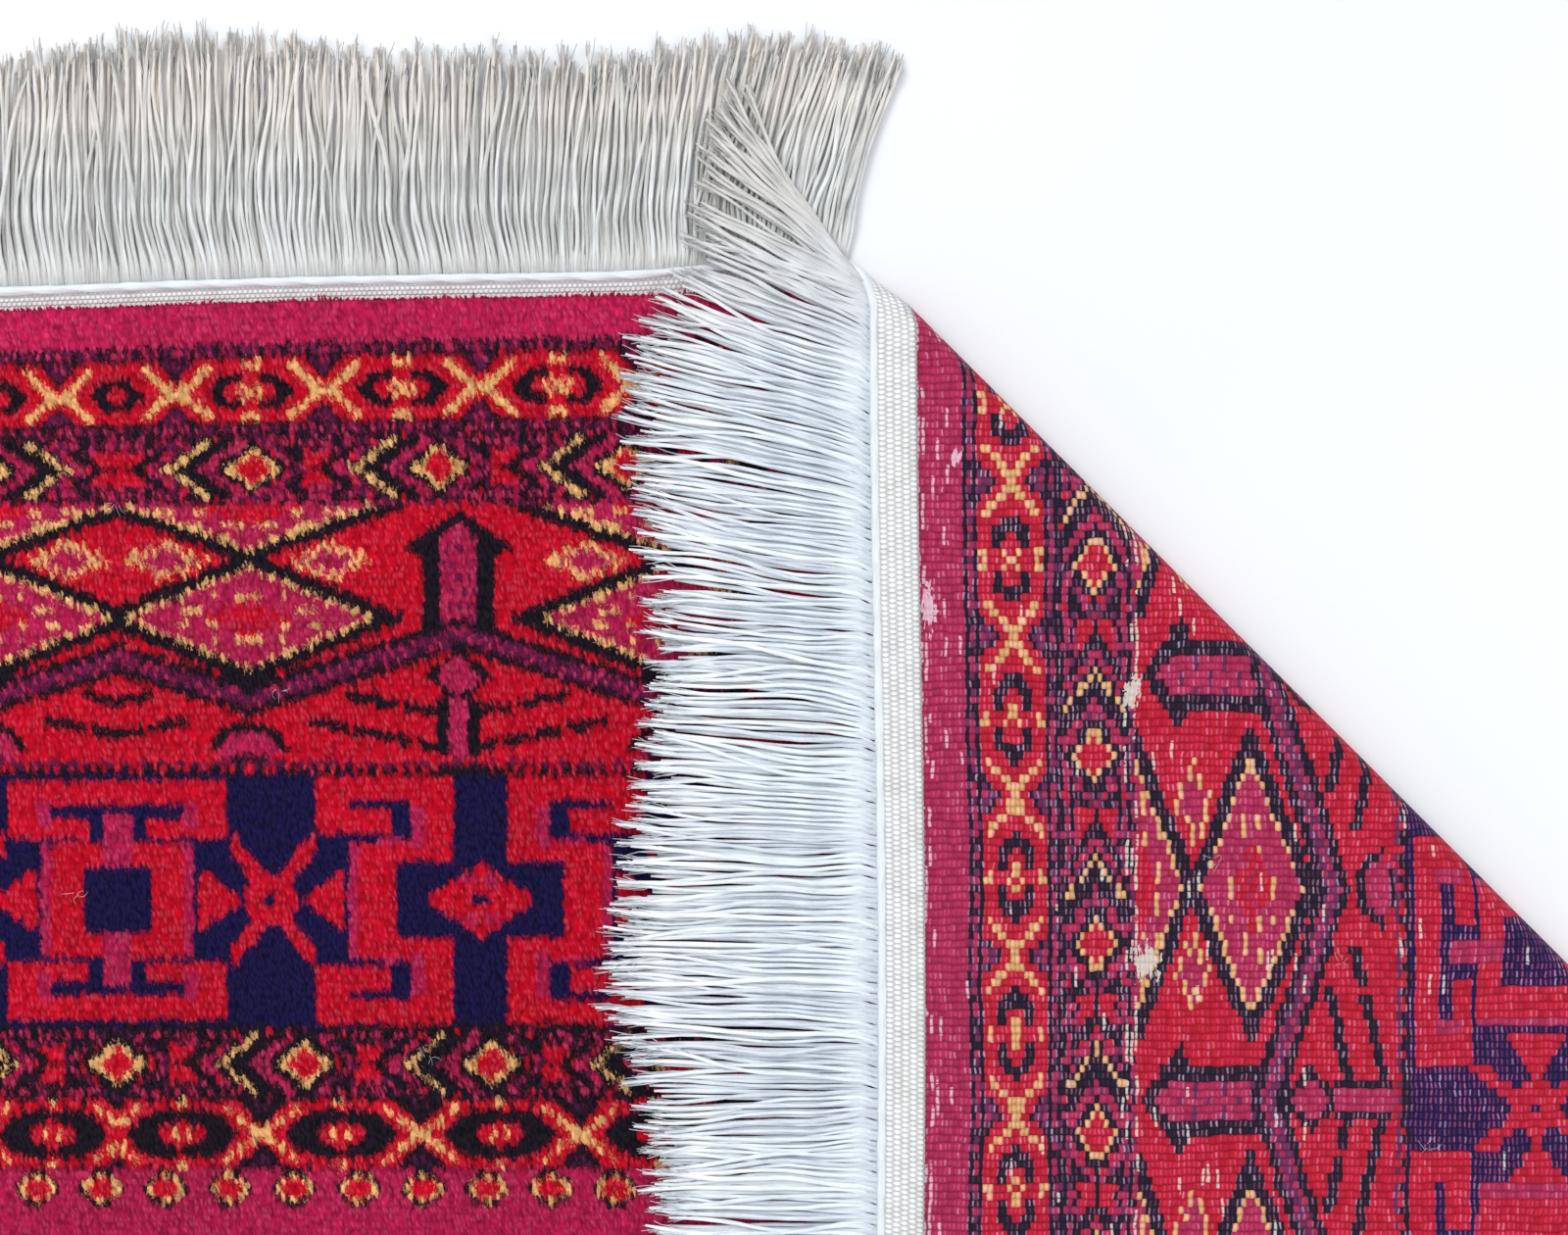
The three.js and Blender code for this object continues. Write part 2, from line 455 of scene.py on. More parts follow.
def chevronChart(darker):
    # Columns go along the band from one small diamond's middle to the next, rows from the
    # band's centre line to its edge. The inner frame's band is darker, and its gold thinner.
    chart = blankChart(40, 9, "m")
    dye(chart, "p", lambda c, r: (3 * c + 5 * r) % 7 < 2)
    if darker:
        dye(chart, "k", lambda c, r: (3 * c + 7 * r) % 5 < 2)
    dye(chart, "k", lambda c, r: (5 * c + 3 * r) % 9 in (0, 4))
    dye(chart, "r", lambda c, r: (7 * c + 2 * r) % 17 == 0)
    dye(chart, "k", lambda c, r: r == 7 and (c * 3) % 4 > 0)
    # the crossed figure after a diamond
    dye(chart, "k", lambda c, r: 7 <= c <= 21 and r == 5 and c % 4 > 0)
    dyeSlope(chart, "k", 7, 4.4, 11, 1.8, 2.6)
    dyeBlock(chart, "r", 11, 1, 16, 3)
    dyeBlock(chart, "k", 11, 0, 15, 0)
    dyeSlope(chart, "k", 15, 0.3, 21, 4.2, 2.2)
    dyeBlock(chart, "m", 18, 0, 21, 1)
    # the chevron, whose tip points back along the band
    gold = 1.1 if darker else 1.7
    for yarn, near, far in (("k", -1.4, 0), ("g", 0, gold), ("k", gold, 6.8), ("m", 6.8, 8.6)):
        dye(chart, yarn, lambda c, r: near <= c - 21 - 1.3 * r < far and r < 7)
    for yarn, long, tall in (("k", 8.4, 6.4), ("g", 5.8, 4.6), ("r", 4.3, 3.8)):
        dye(chart, yarn, lambda c, r: min(c + 0.5, 39.5 - c) / long + r / tall <= 1)
    return chart


def panelChart():
    # Columns go from a lozenge's middle to a tree's middle, rows from the outside in
    chart = blankChart(46, 56, "r")
    # the cut-off lozenge at the top
    dye(chart, "m", lambda c, r: r < 10.3 - 0.34 * c)
    dye(chart, "g", lambda c, r: r < 9 - 0.34 * c and r % 3 == 1 and (c + 2 * r) % 9 < 5)
    dye(chart, "g", lambda c, r: 0 <= 9.2 - 0.34 * c - r < 0.8)
    dye(chart, "r", lambda c, r: r < 4 - 0.34 * c)
    dyeSlope(chart, "k", 0, 10.6, 33, -0.6, 3)
    # the large lozenge
    dyeLozenge(chart, "k", 0, 23.5, 35, 13.8)
    dyeLozenge(chart, "g", 0, 23.5, 27.5, 10.6)
    dyeLozenge(chart, "m", 0, 23.5, 25.6, 9.9)
    dye(chart, "g", lambda c, r: c / 24.4 + abs(r - 23.5) / 9.5 < 0.8
        and r % 3 == 1 and (c + 2 * r) % 9 < 5)
    dyeLozenge(chart, "r", 0, 23.5, 9.6, 4)
    dye(chart, "m", lambda c, r: c / 9.6 + abs(r - 23.5) / 4 <= 0.9 and (c + 3 * r) % 5 == 0)
    # the speckled small lozenge
    dye(chart, "m", lambda c, r: abs(c - 17.5) / 8 + abs(r - 11.5) / 3.2 <= 1)
    dye(chart, "g", lambda c, r: (c + r) % 2 == 0
        and 0.5 < abs(c - 17.5) / 10 + abs(r - 11.5) / 4.4 <= 1)
    # the tree's head, trunk, wave and foot
    dye(chart, "k", lambda c, r: c >= 34 and 1 + 0.66 * (45 - c) <= r <= 9.4 + 0.5 * (c - 34))
    dyeBlock(chart, "k", 38, 7, 41, 26)
    dye(chart, "m", lambda c, r: c >= 41.5 and 3.4 + 0.9 * (45 - c) <= r <= 26)
    dye(chart, "p", lambda c, r: c >= 42 and 8 < r <= 26 and (3 * c + r) % 6 == 0)
    dyeSlope(chart, "k", 0, 40.6, 46, 26.6, 6.8)
    dyeSlope(chart, "p", 0, 40.6, 46, 26.6, 3.2)
    dye(chart, "m", lambda c, r: abs(r - 40.6 + 14 * c / 46) < 1.6 and (2 * c + r) % 3 == 0)
    dyeLozenge(chart, "k", 45, 35.8, 7.4, 6.2)
    dyeLozenge(chart, "m", 45, 35.8, 4.8, 4)
    dyeBlock(chart, "k", 41, 41, 45, 52)
    dyeBlock(chart, "m", 44, 41, 45, 53)
    # slanting branches, and the half disc between them
    dyeSlope(chart, "k", 21, 39.6, 41, 43.4, 2.2)
    dyeSlope(chart, "k", 13, 45, 43, 51, 2.2)
    dye(chart, "r", lambda c, r: (c == 33 and 38 < r < 44) or (c in (22, 36) and 44 < r < 53))
    dye(chart, "k", lambda c, r: (c / 8) ** 2 + ((r - 51) / 5.4) ** 2 <= 1 and r <= 51)
    dye(chart, "m", lambda c, r: (c / 6) ** 2 + ((r - 51) / 3.6) ** 2 <= 1)
    dye(chart, "k", lambda c, r: c < 4 and r == 53)
    dye(chart, "k", lambda c, r: r > 54 and (c * 7 + r * 3) % 5 > 1)
    dye(chart, "p", lambda c, r: r == 54 and (c * 5) % 4 > 0)
    return chart


def navyChart():
    # Columns go from the ringed square's middle to the cross's middle, rows from the
    # band's centre line outwards
    chart = blankChart(77, 27, "n")
    middle = 26.5

    def dyeBlocks(blocks):
        # blocks are measured from the band's outer edge: yarn, left, far edge, right, near edge
        for yarn, left, far, right, near in blocks:
            dyeBlock(chart, yarn, left, middle - far, right, middle - near)

    # ringed square with its stem and its two hooks
    dyeBlocks([("m", 0, middle, 15, 15.4), ("r", 0, middle, 13, 15.4), ("n", 0, middle, 6, 20),
               ("m", 0, 20, 2, 8.6), ("r", 0, 6.6, 22, 2), ("r", 14, 14.4, 22, 2),
               ("r", 6, 14.4, 22, 9.6), ("m", 14, 12, 16, 6)])
    # triangle, star, triangle
    dye(chart, "r", lambda c, r: 16.5 <= c <= 25 and r <= 6 - 0.66 * (c - 16.5))
    dyeSlope(chart, "r", 32, 1, 41, 11.4, 4.6)
    dyeSlope(chart, "r", 32, 1, 23.6, 11.4, 4.6)
    dye(chart, "r", lambda c, r: ((c - 31.8) / 5.6) ** 2 + (r / 4.6) ** 2 <= 1)
    dyeBlock(chart, "n", 31, 0, 32, 0)
    dye(chart, "r", lambda c, r: 39 <= c <= 47.2 and r <= 0.72 * (c - 39))
    # the cross's hooks and uprights
    dyeBlocks([("r", 42, 13, 48, 0.6), ("r", 42, 5.7, 70, 0.6), ("r", 62, 19, 70, 0.2),
               ("r", 55, 19, 70, 14.4), ("m", 55, 15.4, 60, 14.4), ("m", 62, 16, 64, 7),
               ("r", 48, 12.7, 57, 8), ("m", 49, middle, 51, 14.8), ("r", 51, middle, 58, 14.8)])
    dyeLozenge(chart, "r", 76, 0, 10.6, 7)
    dyeBlock(chart, "m", 73, 3, 75, 4)
    dyeBlock(chart, "n", 75, 0, 76, 0)
    dye(chart, "k", lambda c, r: r == 26 and (c * 3) % 7 > 1)
    return chart


def smallDiamondChart():
    chart = blankChart(7, 4, "m")
    dyeLozenge(chart, "k", 0, 0, 4.9, 3.9)
    dye(chart, "g", lambda c, r: c / 3.6 + r / 2.6 <= 1 and (c + r) % 3 != 1)
    dyeLozenge(chart, "r", 0, 0, 2.6, 1.8)
    return chart


def gulChart():
    # A quarter of the field's repeat, in squares of two knots: an octagon with quartered
    # colours round a small cross, and a hooked lozenge where four repeats meet
    chart = blankChart(30, 34, "m")
    dye(chart, "k", lambda c, r: c <= 20 and r <= 17 and c + r <= 29)
    dye(chart, "r", lambda c, r: c <= 18 and r <= 15 and c + r <= 26)
    dye(chart, "n", lambda c, r: c <= 18 and r <= 15 and c + r <= 26 and c > 1.2 * r)
    dye(chart, "g", lambda c, r: c <= 9 and r <= 8 and c + r <= 13)
    dye(chart, "m", lambda c, r: c <= 8 and r <= 7 and c + r <= 11)
    dyeBlock(chart, "g", 0, 0, 1, 5)
    dyeBlock(chart, "g", 0, 0, 6, 1)
    dyeLozenge(chart, "g", 14, 4, 2.5, 2.5)
    dyeLozenge(chart, "g", 5, 12, 2.5, 2.5)
    dyeLozenge(chart, "k", 29, 33, 9, 12)
    dyeLozenge(chart, "g", 29, 33, 7, 9.6)
    dyeLozenge(chart, "r", 29, 33, 6, 8.2)
    dyeLozenge(chart, "n", 29, 33, 3, 4)
    dyeBlock(chart, "k", 28, 17, 29, 23)
    dyeBlock(chart, "k", 25, 17, 29, 18)
    dyeBlock(chart, "k", 16, 32, 21, 33)
    return chart


mostStops = 32  # as many as a ramp can hold


def yarnNumber(letter):
    return (yarns.index(letter) + 0.5) / len(yarns)


def chartGroup(name, chart):
    # One constant ramp holds a row of knots, and the row's number picks the ramp.
    # Column runs from 0 to 1 over the chart, and Row counts knots.
    group = bpy.data.node_groups.new(name, "ShaderNodeTree")
    for socket in ("Column", "Row"):
        group.interface.new_socket(socket, in_out="INPUT", socket_type="NodeSocketFloat")
    group.interface.new_socket("Yarn", in_out="OUTPUT", socket_type="NodeSocketFloat")
    bench = Bench(group)
    column, row = bench.node("NodeGroupInput").outputs[:2]
    lines = ["".join(line) for line in chart]
    value = None
    for number, line in enumerate(lines):
        if number and line == lines[number - 1]:
            continue
        stops = [(place / len(line), (0, 0, 0, yarnNumber(letter)))
                 for place, letter in enumerate(line)
                 if place == 0 or letter != line[place - 1]]
        picked = bench.ramp(column, stops[:mostStops], "CONSTANT").outputs["Alpha"]
        if value is None:
            value = picked
        else:
            value = bench.choose(bench.above(row, float(number)), value, picked)
    bench.node("NodeGroupOutput", {0: value})
    return group


# Metres along a band. Most charts are mirrored about their motifs' middles, so that half of
# the repeat is given. A start is where the first motif's middle is, from the rug's axis.
repeats = {
    "oval": 0.0244,
    "ovalStart": 0.0157,
    "ovalPair": (0.0645, -0.0194, 0.0488),  # where the pair at the axis ends, and its stretch
    "innerOval": 0.0249,
    "innerOvalStart": 0.0451,
    "chevron": 0.0585,  # the whole repeat
    "chevronStart": 0.042,
    "panel": 0.0655,
    "panelStart": 0.041,
    "navy": 0.1135,
    "diamond": 0.01005,
    "diamondShift": 0.0051,
    "gulWide": 0.0894,
    "gulLong": 0.1013,
    "point": 0.0173,
    "pointDepth": 0.0105,  # from where the field starts
    "pointSize": 0.0036,
    "margin": 0.02,
}

# How many knots deep each band is
depths = {"oval": 20.0, "chevron": 15.4, "navy": 53.6, "innerChevron": 14.8, "innerOval": 14.8,
          "diamonds": 8.0}


def designGroup():
    # From a place on the flat rug to the number of the yarn that is knotted there
    group = bpy.data.node_groups.new("wovenDesign", "ShaderNodeTree")
    group.interface.new_socket("Place", in_out="INPUT", socket_type="NodeSocketVector")
    group.interface.new_socket("Yarn", in_out="OUTPUT", socket_type="NodeSocketFloat")
    bench = Bench(group)
    u, v = bench.split(bench.node("NodeGroupInput").outputs[0])
    fromMiddle = bench.size(u)
    fromCross = bench.size(v)
    dSide = bench.minus(halfWidth, fromMiddle)
    dEnd = bench.minus(halfLength, fromCross)
    dOuter = bench.math("MINIMUM", dSide, dEnd)
    dEndInner = bench.minus(dEnd, bands["panelDepth"])
    inside = bench.above(dOuter, bands["panel"])
    framed = bench.choose(inside, dOuter, bench.math("MINIMUM", dSide, dEndInner))
    endwise = bench.choose(inside, dEnd, dEndInner)

    # each frame's end strips run through its corners
    pastPlain = bench.above(framed, bands["oval"])
    stripEnd = bench.choose(pastPlain, bands["oval"], bands["chevron"])
    strips = ["chevron", "panel", "innerChevron", "innerOval", "diamonds", "field"]
    for start, end in zip(strips, strips[1:]):
        stripEnd = bench.choose(bench.above(framed, bands[start]), stripEnd, bands[end])
    atEnd = bench.below(endwise, stripEnd)
    depth = bench.choose(atEnd, dSide, endwise)
    along = bench.choose(atEnd, fromCross, fromMiddle)
    signedAlong = bench.choose(atEnd, v, u)
    inner = bench.above(framed, bands["panel"])

    def rowsFrom(name):
        # rows counted from the middle line of a band
        rows = bench.over(bench.minus(depth, bands[name]), knot)
        return bench.size(bench.minus(rows, depths[name] / 2))

    def mirrored(place, half):
        return bench.over(bench.fold(place, half), half)

    def charted(name, chart, column, row):
        return bench.group(chartGroup(name, chart), column, row)

    # the two crosses nearest the axis stand a little further out than the rest
    pairEnd, pairLow, pairHigh = repeats["ovalPair"]
    pushed = bench.range(along, 0.0, pairEnd, pairLow, pairHigh)
    stepped = bench.minus(along, repeats["ovalStart"])
    outer = bench.choose(bench.below(along, pairEnd), stepped, pushed)
    ovalPlace = bench.choose(inner, outer, bench.minus(along, repeats["innerOvalStart"]))
    ovalColumn = mirrored(ovalPlace, bench.choose(inner, repeats["oval"], repeats["innerOval"]))
    ovalRow = bench.choose(inner, rowsFrom("oval"), rowsFrom("innerOval"))
    oval = charted("ovalChart", ovalChart, ovalColumn, ovalRow)
    innerOval = charted("innerOvalChart", innerOvalChart, ovalColumn, ovalRow)

    chevronPlace = bench.choose(inner, bench.minus(along, repeats["chevronStart"]), along)
    chevronColumn = bench.math("WRAP", bench.over(chevronPlace, repeats["chevron"]), 1.0, 0.0)
    chevronRow = bench.plus(bench.choose(inner, rowsFrom("chevron"), rowsFrom("innerChevron")), 0.5)
    chevron = charted("chevronChart", chevronChart(False), chevronColumn, chevronRow)
    innerChevron = charted("innerChevronChart", chevronChart(True), chevronColumn, chevronRow)

    panelColumn = mirrored(bench.minus(fromMiddle, repeats["panelStart"]), repeats["panel"])
    panelRow = bench.over(bench.minus(dEnd, bands["panel"]), knot)
    panel = charted("panelChart", panelChart(), panelColumn, panelRow)
    navy = charted("navyChart", navyChart(), mirrored(along, repeats["navy"]), rowsFrom("navy"))
    diamondColumn = mirrored(bench.plus(signedAlong, repeats["diamondShift"]), repeats["diamond"])
    diamond = charted("smallDiamondChart", smallDiamondChart(), diamondColumn, rowsFrom("diamonds"))
    gulRow = bench.over(bench.fold(v, repeats["gulLong"]), 2 * knot)
    gul = charted("gulChart", gulChart(), mirrored(u, repeats["gulWide"]), gulRow)

    # the field starts with a plain margin that ends in a row of small dark points
    fieldDepth = bench.minus(framed, bands["field"])
    offPoint = bench.plus(bench.fold(along, repeats["point"]),
                          bench.size(bench.minus(fieldDepth, repeats["pointDepth"])))
    dark = bench.below(offPoint, repeats["pointSize"])
    margin = bench.choose(dark, yarnNumber("m"), yarnNumber("k"))
    gul = bench.choose(bench.below(fieldDepth, repeats["margin"]), gul, margin)

    value = yarnNumber("m")
    charts = {"oval": oval, "chevron": chevron, "navy": navy, "innerChevron": innerChevron,
              "innerOval": innerOval, "diamonds": diamond, "field": gul}
    for name, band in charts.items():
        value = bench.choose(bench.above(framed, bands[name]), value, band)
    inPanel = bench.times(inside, bench.below(dEnd, bands["panel"] + bands["panelDepth"]))
    value = bench.choose(inPanel, value, panel)
    bench.node("NodeGroupOutput", {0: value})
    return group


def yarnColours(bench, yarn, palette):
    stops = [(place / len(yarns), fromScreen(*palette[letter])) for place, letter in enumerate(yarns)]
    return bench.ramp(yarn, stops, "CONSTANT").outputs["Color"]


# Materials

pileLook = {
    "tuftWide": 0.00092,
    "tuftLong": 0.0022,
    "slant": 0.2,  # how far the strokes lean sideways
    "stray": 0.0006,  # how far a tuft's tip wanders from its knot
    "mingle": (0.0034, 0.0085, 0),  # how far its loose fibres reach
    "waver": 0.0024,  # how far the rows wander
    # the tips' colour, for dust and a painted highlight
    "dust": (222, 140, 170),
    "scales": {"waver": 120.0, "loose": 620.0, "patches": 11.0, "clumps": 290.0, "fibre": 1500.0,
               "lumps": 160.0},
    "bump": (0.6, 0.0007),  # strength, depth
    "surface": {
        "Roughness": 0.75, "Sheen Weight": 0.02, "Sheen Roughness": 0.4, "Specular IOR Level": 0.06},
}


def makePileMaterial(design):
    material, bench = newMaterial("woolPile")
    flat = bench.flat("RugFlat")
    scales = pileLook["scales"]
    drift = bench.noise(flat, scales["waver"]).outputs["Color"]
    x, y = bench.split(bench.shift(flat, drift, pileLook["waver"]))
    leant = bench.plus(x, bench.times(y, pileLook["slant"]))
    cells = bench.join(bench.over(leant, pileLook["tuftWide"]), bench.over(y, pileLook["tuftLong"]))
    tufts = bench.node("ShaderNodeTexVoronoi", {"Vector": cells, "Scale": 1.0, "Randomness": 0.95},
                       voronoi_dimensions="2D", feature="F1")
    distance = tufts.outputs["Distance"]
    luck = tufts.outputs["Color"]
    # the knot that this tuft is tied to
    cx, cy = bench.split(tufts.outputs["Position"])
    knotY = bench.times(cy, pileLook["tuftLong"])
    knotX = bench.minus(bench.times(cx, pileLook["tuftWide"]), bench.times(knotY, pileLook["slant"]))
    number = bench.group(design, bench.shift(bench.join(knotX, knotY), luck, pileLook["stray"]))
    yarn = yarnColours(bench, number, frontYarns)
    # fibres of the neighbouring tufts mingle at the tips
    loose = bench.noise(bench.join(bench.times(leant, 2.2), y), scales["loose"], 2.0, 0.6)
    astray = bench.vector("MULTIPLY", bench.centred(loose.outputs["Color"]), pileLook["mingle"])
    other = yarnColours(bench, bench.group(design, bench.vector("ADD", flat, astray)), frontYarns)
    yarn = bench.blend(bench.range(loose.outputs["Fac"], 0.35, 0.65, 0.2, 0.65), yarn, other)

    luckX, luckY = bench.split(luck)
    # tip is the middle of each tuft, where the painted highlight goes
    tip = bench.range(distance, 0.6, 0.05)
    # painted shade in the crevices between tufts
    creviceShade = bench.range(distance, 0.45, 0.95)
    shade = bench.times(bench.range(luckX, 0, 1, 0.84, 1.1), bench.range(creviceShade, 0, 1, 1.0, 0.54))
    patches = bench.grain(flat, scales["patches"], 3.0, 0.6)
    shade = bench.times(shade, bench.range(patches, 0.3, 0.7, 0.88, 1.1))
    # clumps of tufts are painted lighter and darker, as painted light and shade
    clumps = bench.grain(bench.join(bench.times(leant, 1.5), y), scales["clumps"], 3.0, 0.6)
    shade = bench.times(shade, bench.range(clumps, 0.32, 0.68, 0.68, 1.2))
    # the plain band at each end is painted lighter, as painted light
    fromEnd = bench.minus(halfLength, bench.size(bench.split(flat)[1]))
    shade = bench.times(shade, bench.range(fromEnd, 0.017, 0.013, 1.0, 1.22))
    # the tips are painted lighter and pinker on the two reds, as dust and a painted highlight, and
    # hardly on the dark yarns
    onBright = bench.choose(
        bench.below(number, 2 / len(yarns)), 0.015, bench.range(luckY, 0.35, 1, 0.0, 0.16))
    dust = fromScreen(*pileLook["dust"])
    withPaintedLight = bench.blend(bench.times(tip, onBright), bench.dim(yarn, shade), dust)

    fibre = bench.grain(bench.join(bench.times(leant, 3.2), y), scales["fibre"], 2.0, 0.6)
    height = bench.plus(bench.range(distance, 0.0, 1.0, 1.0, 0.0), bench.times(fibre, 0.35))
    height = bench.plus(height, bench.times(bench.grain(flat, scales["lumps"]), 0.6))
    coat(bench, withPaintedLight, pileLook, height)
    return material


backLook = {
    "ribWide": 0.00242,  # along the fringed edge
    "waver": 0.0026,  # how far the pattern wanders, and its knots
    "uneven": 0.0011,
    "weft": (212, 92, 130),
    "cottonWeft": (178, 172, 196),
    "bareEdge": (226, 188, 202),
    "bareInside": (216, 208, 196),
    "scales": {"waver": 28.0, "uneven": 260.0, "patches": 60.0, "flecks": 1.2, "fuzz": 1400.0},
    "bump": (0.8, 0.0006),
    "surface": {"Roughness": 0.8, "Sheen Weight": 0.04, "Specular IOR Level": 0.12},
    # worn bare: from the middle, from the end, half length, half depth
    "barePatches": [(0.348, 0.0026, 0.007, 0.0024), (0.374, 0.0664, 0.0045, 0.003),
                    (0.457, 0.0708, 0.0055, 0.0045), (0.302, 0.012, 0.003, 0.0014)],
    # rows where the white weft shows: from the end, half depth, share of the row
    "wornRows": [(0.0672, 0.0009, 0.55), (0.0641, 0.0008, 0.34), (0.0656, 0.0007, 0.12),
                 (0.0012, 0.0016, 0.28)],
}


def makeBackMaterial(design):
    material, bench = newMaterial("wovenBack")
    flat = bench.flat("RugFlat")
    scales = backLook["scales"]
    wavy = flat
    for name in ("waver", "uneven"):
        wavy = bench.shift(wavy, bench.noise(flat, scales[name]).outputs["Color"], backLook[name])
    x, y = bench.split(wavy)
    ribWide = backLook["ribWide"]
    across = bench.over(x, ribWide)
    down = bench.over(y, knot)
    rib = bench.floor(across)
    cell = bench.join(rib, bench.floor(down))
    place = bench.vector("MULTIPLY", bench.vector("ADD", cell, (0.5, 0.5, 0)), (ribWide, knot, 0))
    number = bench.group(design, place)
    yarn = yarnColours(bench, number, backYarns)

    # each knot is an upright bead in its rib, and the weft shows in the slots between beads
    fromRib = bench.offMiddle(across)
    shifted = bench.plus(down, 0.5)
    slot = bench.floor(shifted)
    fromSlot = bench.offMiddle(shifted)
    # the beads are painted darker towards their corners, as painted shade where they meet
    corner = bench.reach(bench.times(fromRib, 1.1), bench.minus(0.5, fromSlot))
    shade = bench.times(bench.range(bench.luck(cell), 0, 1, 0.8, 1.14),
                        bench.range(corner, 0.28, 0.68, 1.06, 0.62))
    opening = bench.times(bench.range(fromSlot, 0.25, 0.1), bench.range(fromRib, 0.46, 0.3))
    slotLuck = bench.luck(bench.join(rib, slot))
    darkYarn = bench.math("COMPARE", number, 3.5 / len(yarns), 1.2 / len(yarns))
    cotton = bench.choose(darkYarn, bench.range(slotLuck, 0.8, 1.0, 0.0, 0.6),
                          bench.range(slotLuck, 0.5, 1.0, 0.1, 0.8))
    tint = bench.blend(cotton, fromScreen(*backLook["weft"]), fromScreen(*backLook["cottonWeft"]))
    patches = bench.grain(flat, scales["patches"], 3.0, 0.65)
    strength = bench.times(bench.range(slotLuck, 0.0, 1.0, 0.1, 0.95),
                           bench.range(patches, 0.35, 0.6, 0.5, 1.0))
    onDark = bench.choose(darkYarn, 1.0, bench.range(slotLuck, 0.3, 0.8, 0.25, 1.0))
    strength = bench.times(strength, onDark)
    withWeft = bench.blend(bench.times(opening, strength), bench.dim(yarn, shade), tint)

    # white weft bared in runs along its own row, mostly near the edge and along the guard
    begins = bench.times(bench.luckOf(slot), 7.0)
    run = bench.floor(bench.plus(bench.times(across, 0.42), begins))
    dEnd = bench.minus(halfLength, bench.size(y))
    slotEnd = bench.minus(halfLength, bench.size(bench.times(slot, knot)))
    share = bench.range(dEnd, 0.019, 0.004, 0.012, 0.075)
    for fromEnd, half, part in backLook["wornRows"]:
        onRow = bench.math("COMPARE", slotEnd, fromEnd, half)
        share = bench.plus(share, bench.times(onRow, part))
    share = bench.times(share, bench.range(patches, 0.35, 0.55, 0.4, 1.25))
    bared = bench.above(bench.plus(bench.luck(bench.join(run, slot)), share), 1.0)
    runShape = bench.times(bench.range(fromSlot, 0.36, 0.2), bench.range(fromRib, 0.5, 0.34))
    white = bench.times(bared, runShape)
    fleck = bench.grain(bench.join(bench.times(across, 0.5), down), scales["flecks"], 2.0, 0.7)
    for fromMiddle, fromEnd, long, deep in backLook["barePatches"]:
        off = bench.vector("SUBTRACT", bench.join(x, dEnd), (fromMiddle, fromEnd, 0))
        off = bench.vector("MULTIPLY", off, (1 / long, 1 / deep, 0))
        reach = bench.node("ShaderNodeVectorMath", {0: off}, operation="LENGTH").outputs["Value"]
        reach = bench.plus(reach, bench.range(fleck, 0.3, 0.7, 0.5, -0.5))
        white = bench.math("MAXIMUM", white, bench.below(reach, 0.85))
    clean = bench.blend(bench.range(dEnd, 0.02, 0.03), fromScreen(*backLook["bareEdge"]),
                        fromScreen(*backLook["bareInside"]))
    worn = bench.blend(bench.times(white, 0.85), withWeft, clean)

    ribRound = bench.math("COSINE", bench.times(fromRib, math.pi))
    height = bench.plus(ribRound, bench.times(bench.wave(fromSlot, math.pi), 0.6))
    height = bench.plus(height, bench.times(bench.grain(flat, scales["fuzz"], 2.0, 0.6), 0.4))
    coat(bench, worn, backLook, height)
    return material


selvedgeLook = {
    "turn": 0.0019,  # from one turn of the overcasting yarn to the next
    "slant": 0.25,
    "dark": (30, 12, 20),
    "light": (74, 24, 40),
    "bump": (0.9, 0.0007),
    "surface": {"Roughness": 0.78, "Sheen Weight": 0.15},
}


def makeSelvedgeMaterial():
    look = selvedgeLook
    material, bench = newMaterial("selvedgeWool")
    flat = bench.flat("RugFlat")
    x, y = bench.split(flat)
    wrap = bench.wave(bench.plus(y, bench.times(x, look["slant"])), 2 * math.pi / look["turn"])
    tone = bench.grain(bench.join(bench.times(x, 0.2), y), 420.0, 3.0, 0.6)
    height = bench.plus(wrap, bench.times(bench.grain(flat, 1600.0), 0.6))
    coat(bench, mottled(bench, tone, look), look, height)
    return material


floorLook = {
    "dark": (0.80, 0.81, 0.83, 1),
    "light": (0.84, 0.85, 0.86, 1),
    "surface": {"Roughness": 0.9},
}


def makeFloorMaterial():
    material, bench = newMaterial("palePaper")
    cloud = bench.grain(bench.node("ShaderNodeTexCoord").outputs["Object"], 2.4, 3.0)
    stops = [(0.3, floorLook["dark"]), (0.7, floorLook["light"])]
    coat(bench, bench.ramp(cloud, stops).outputs["Color"], floorLook)
    return material


# The rug's cloth


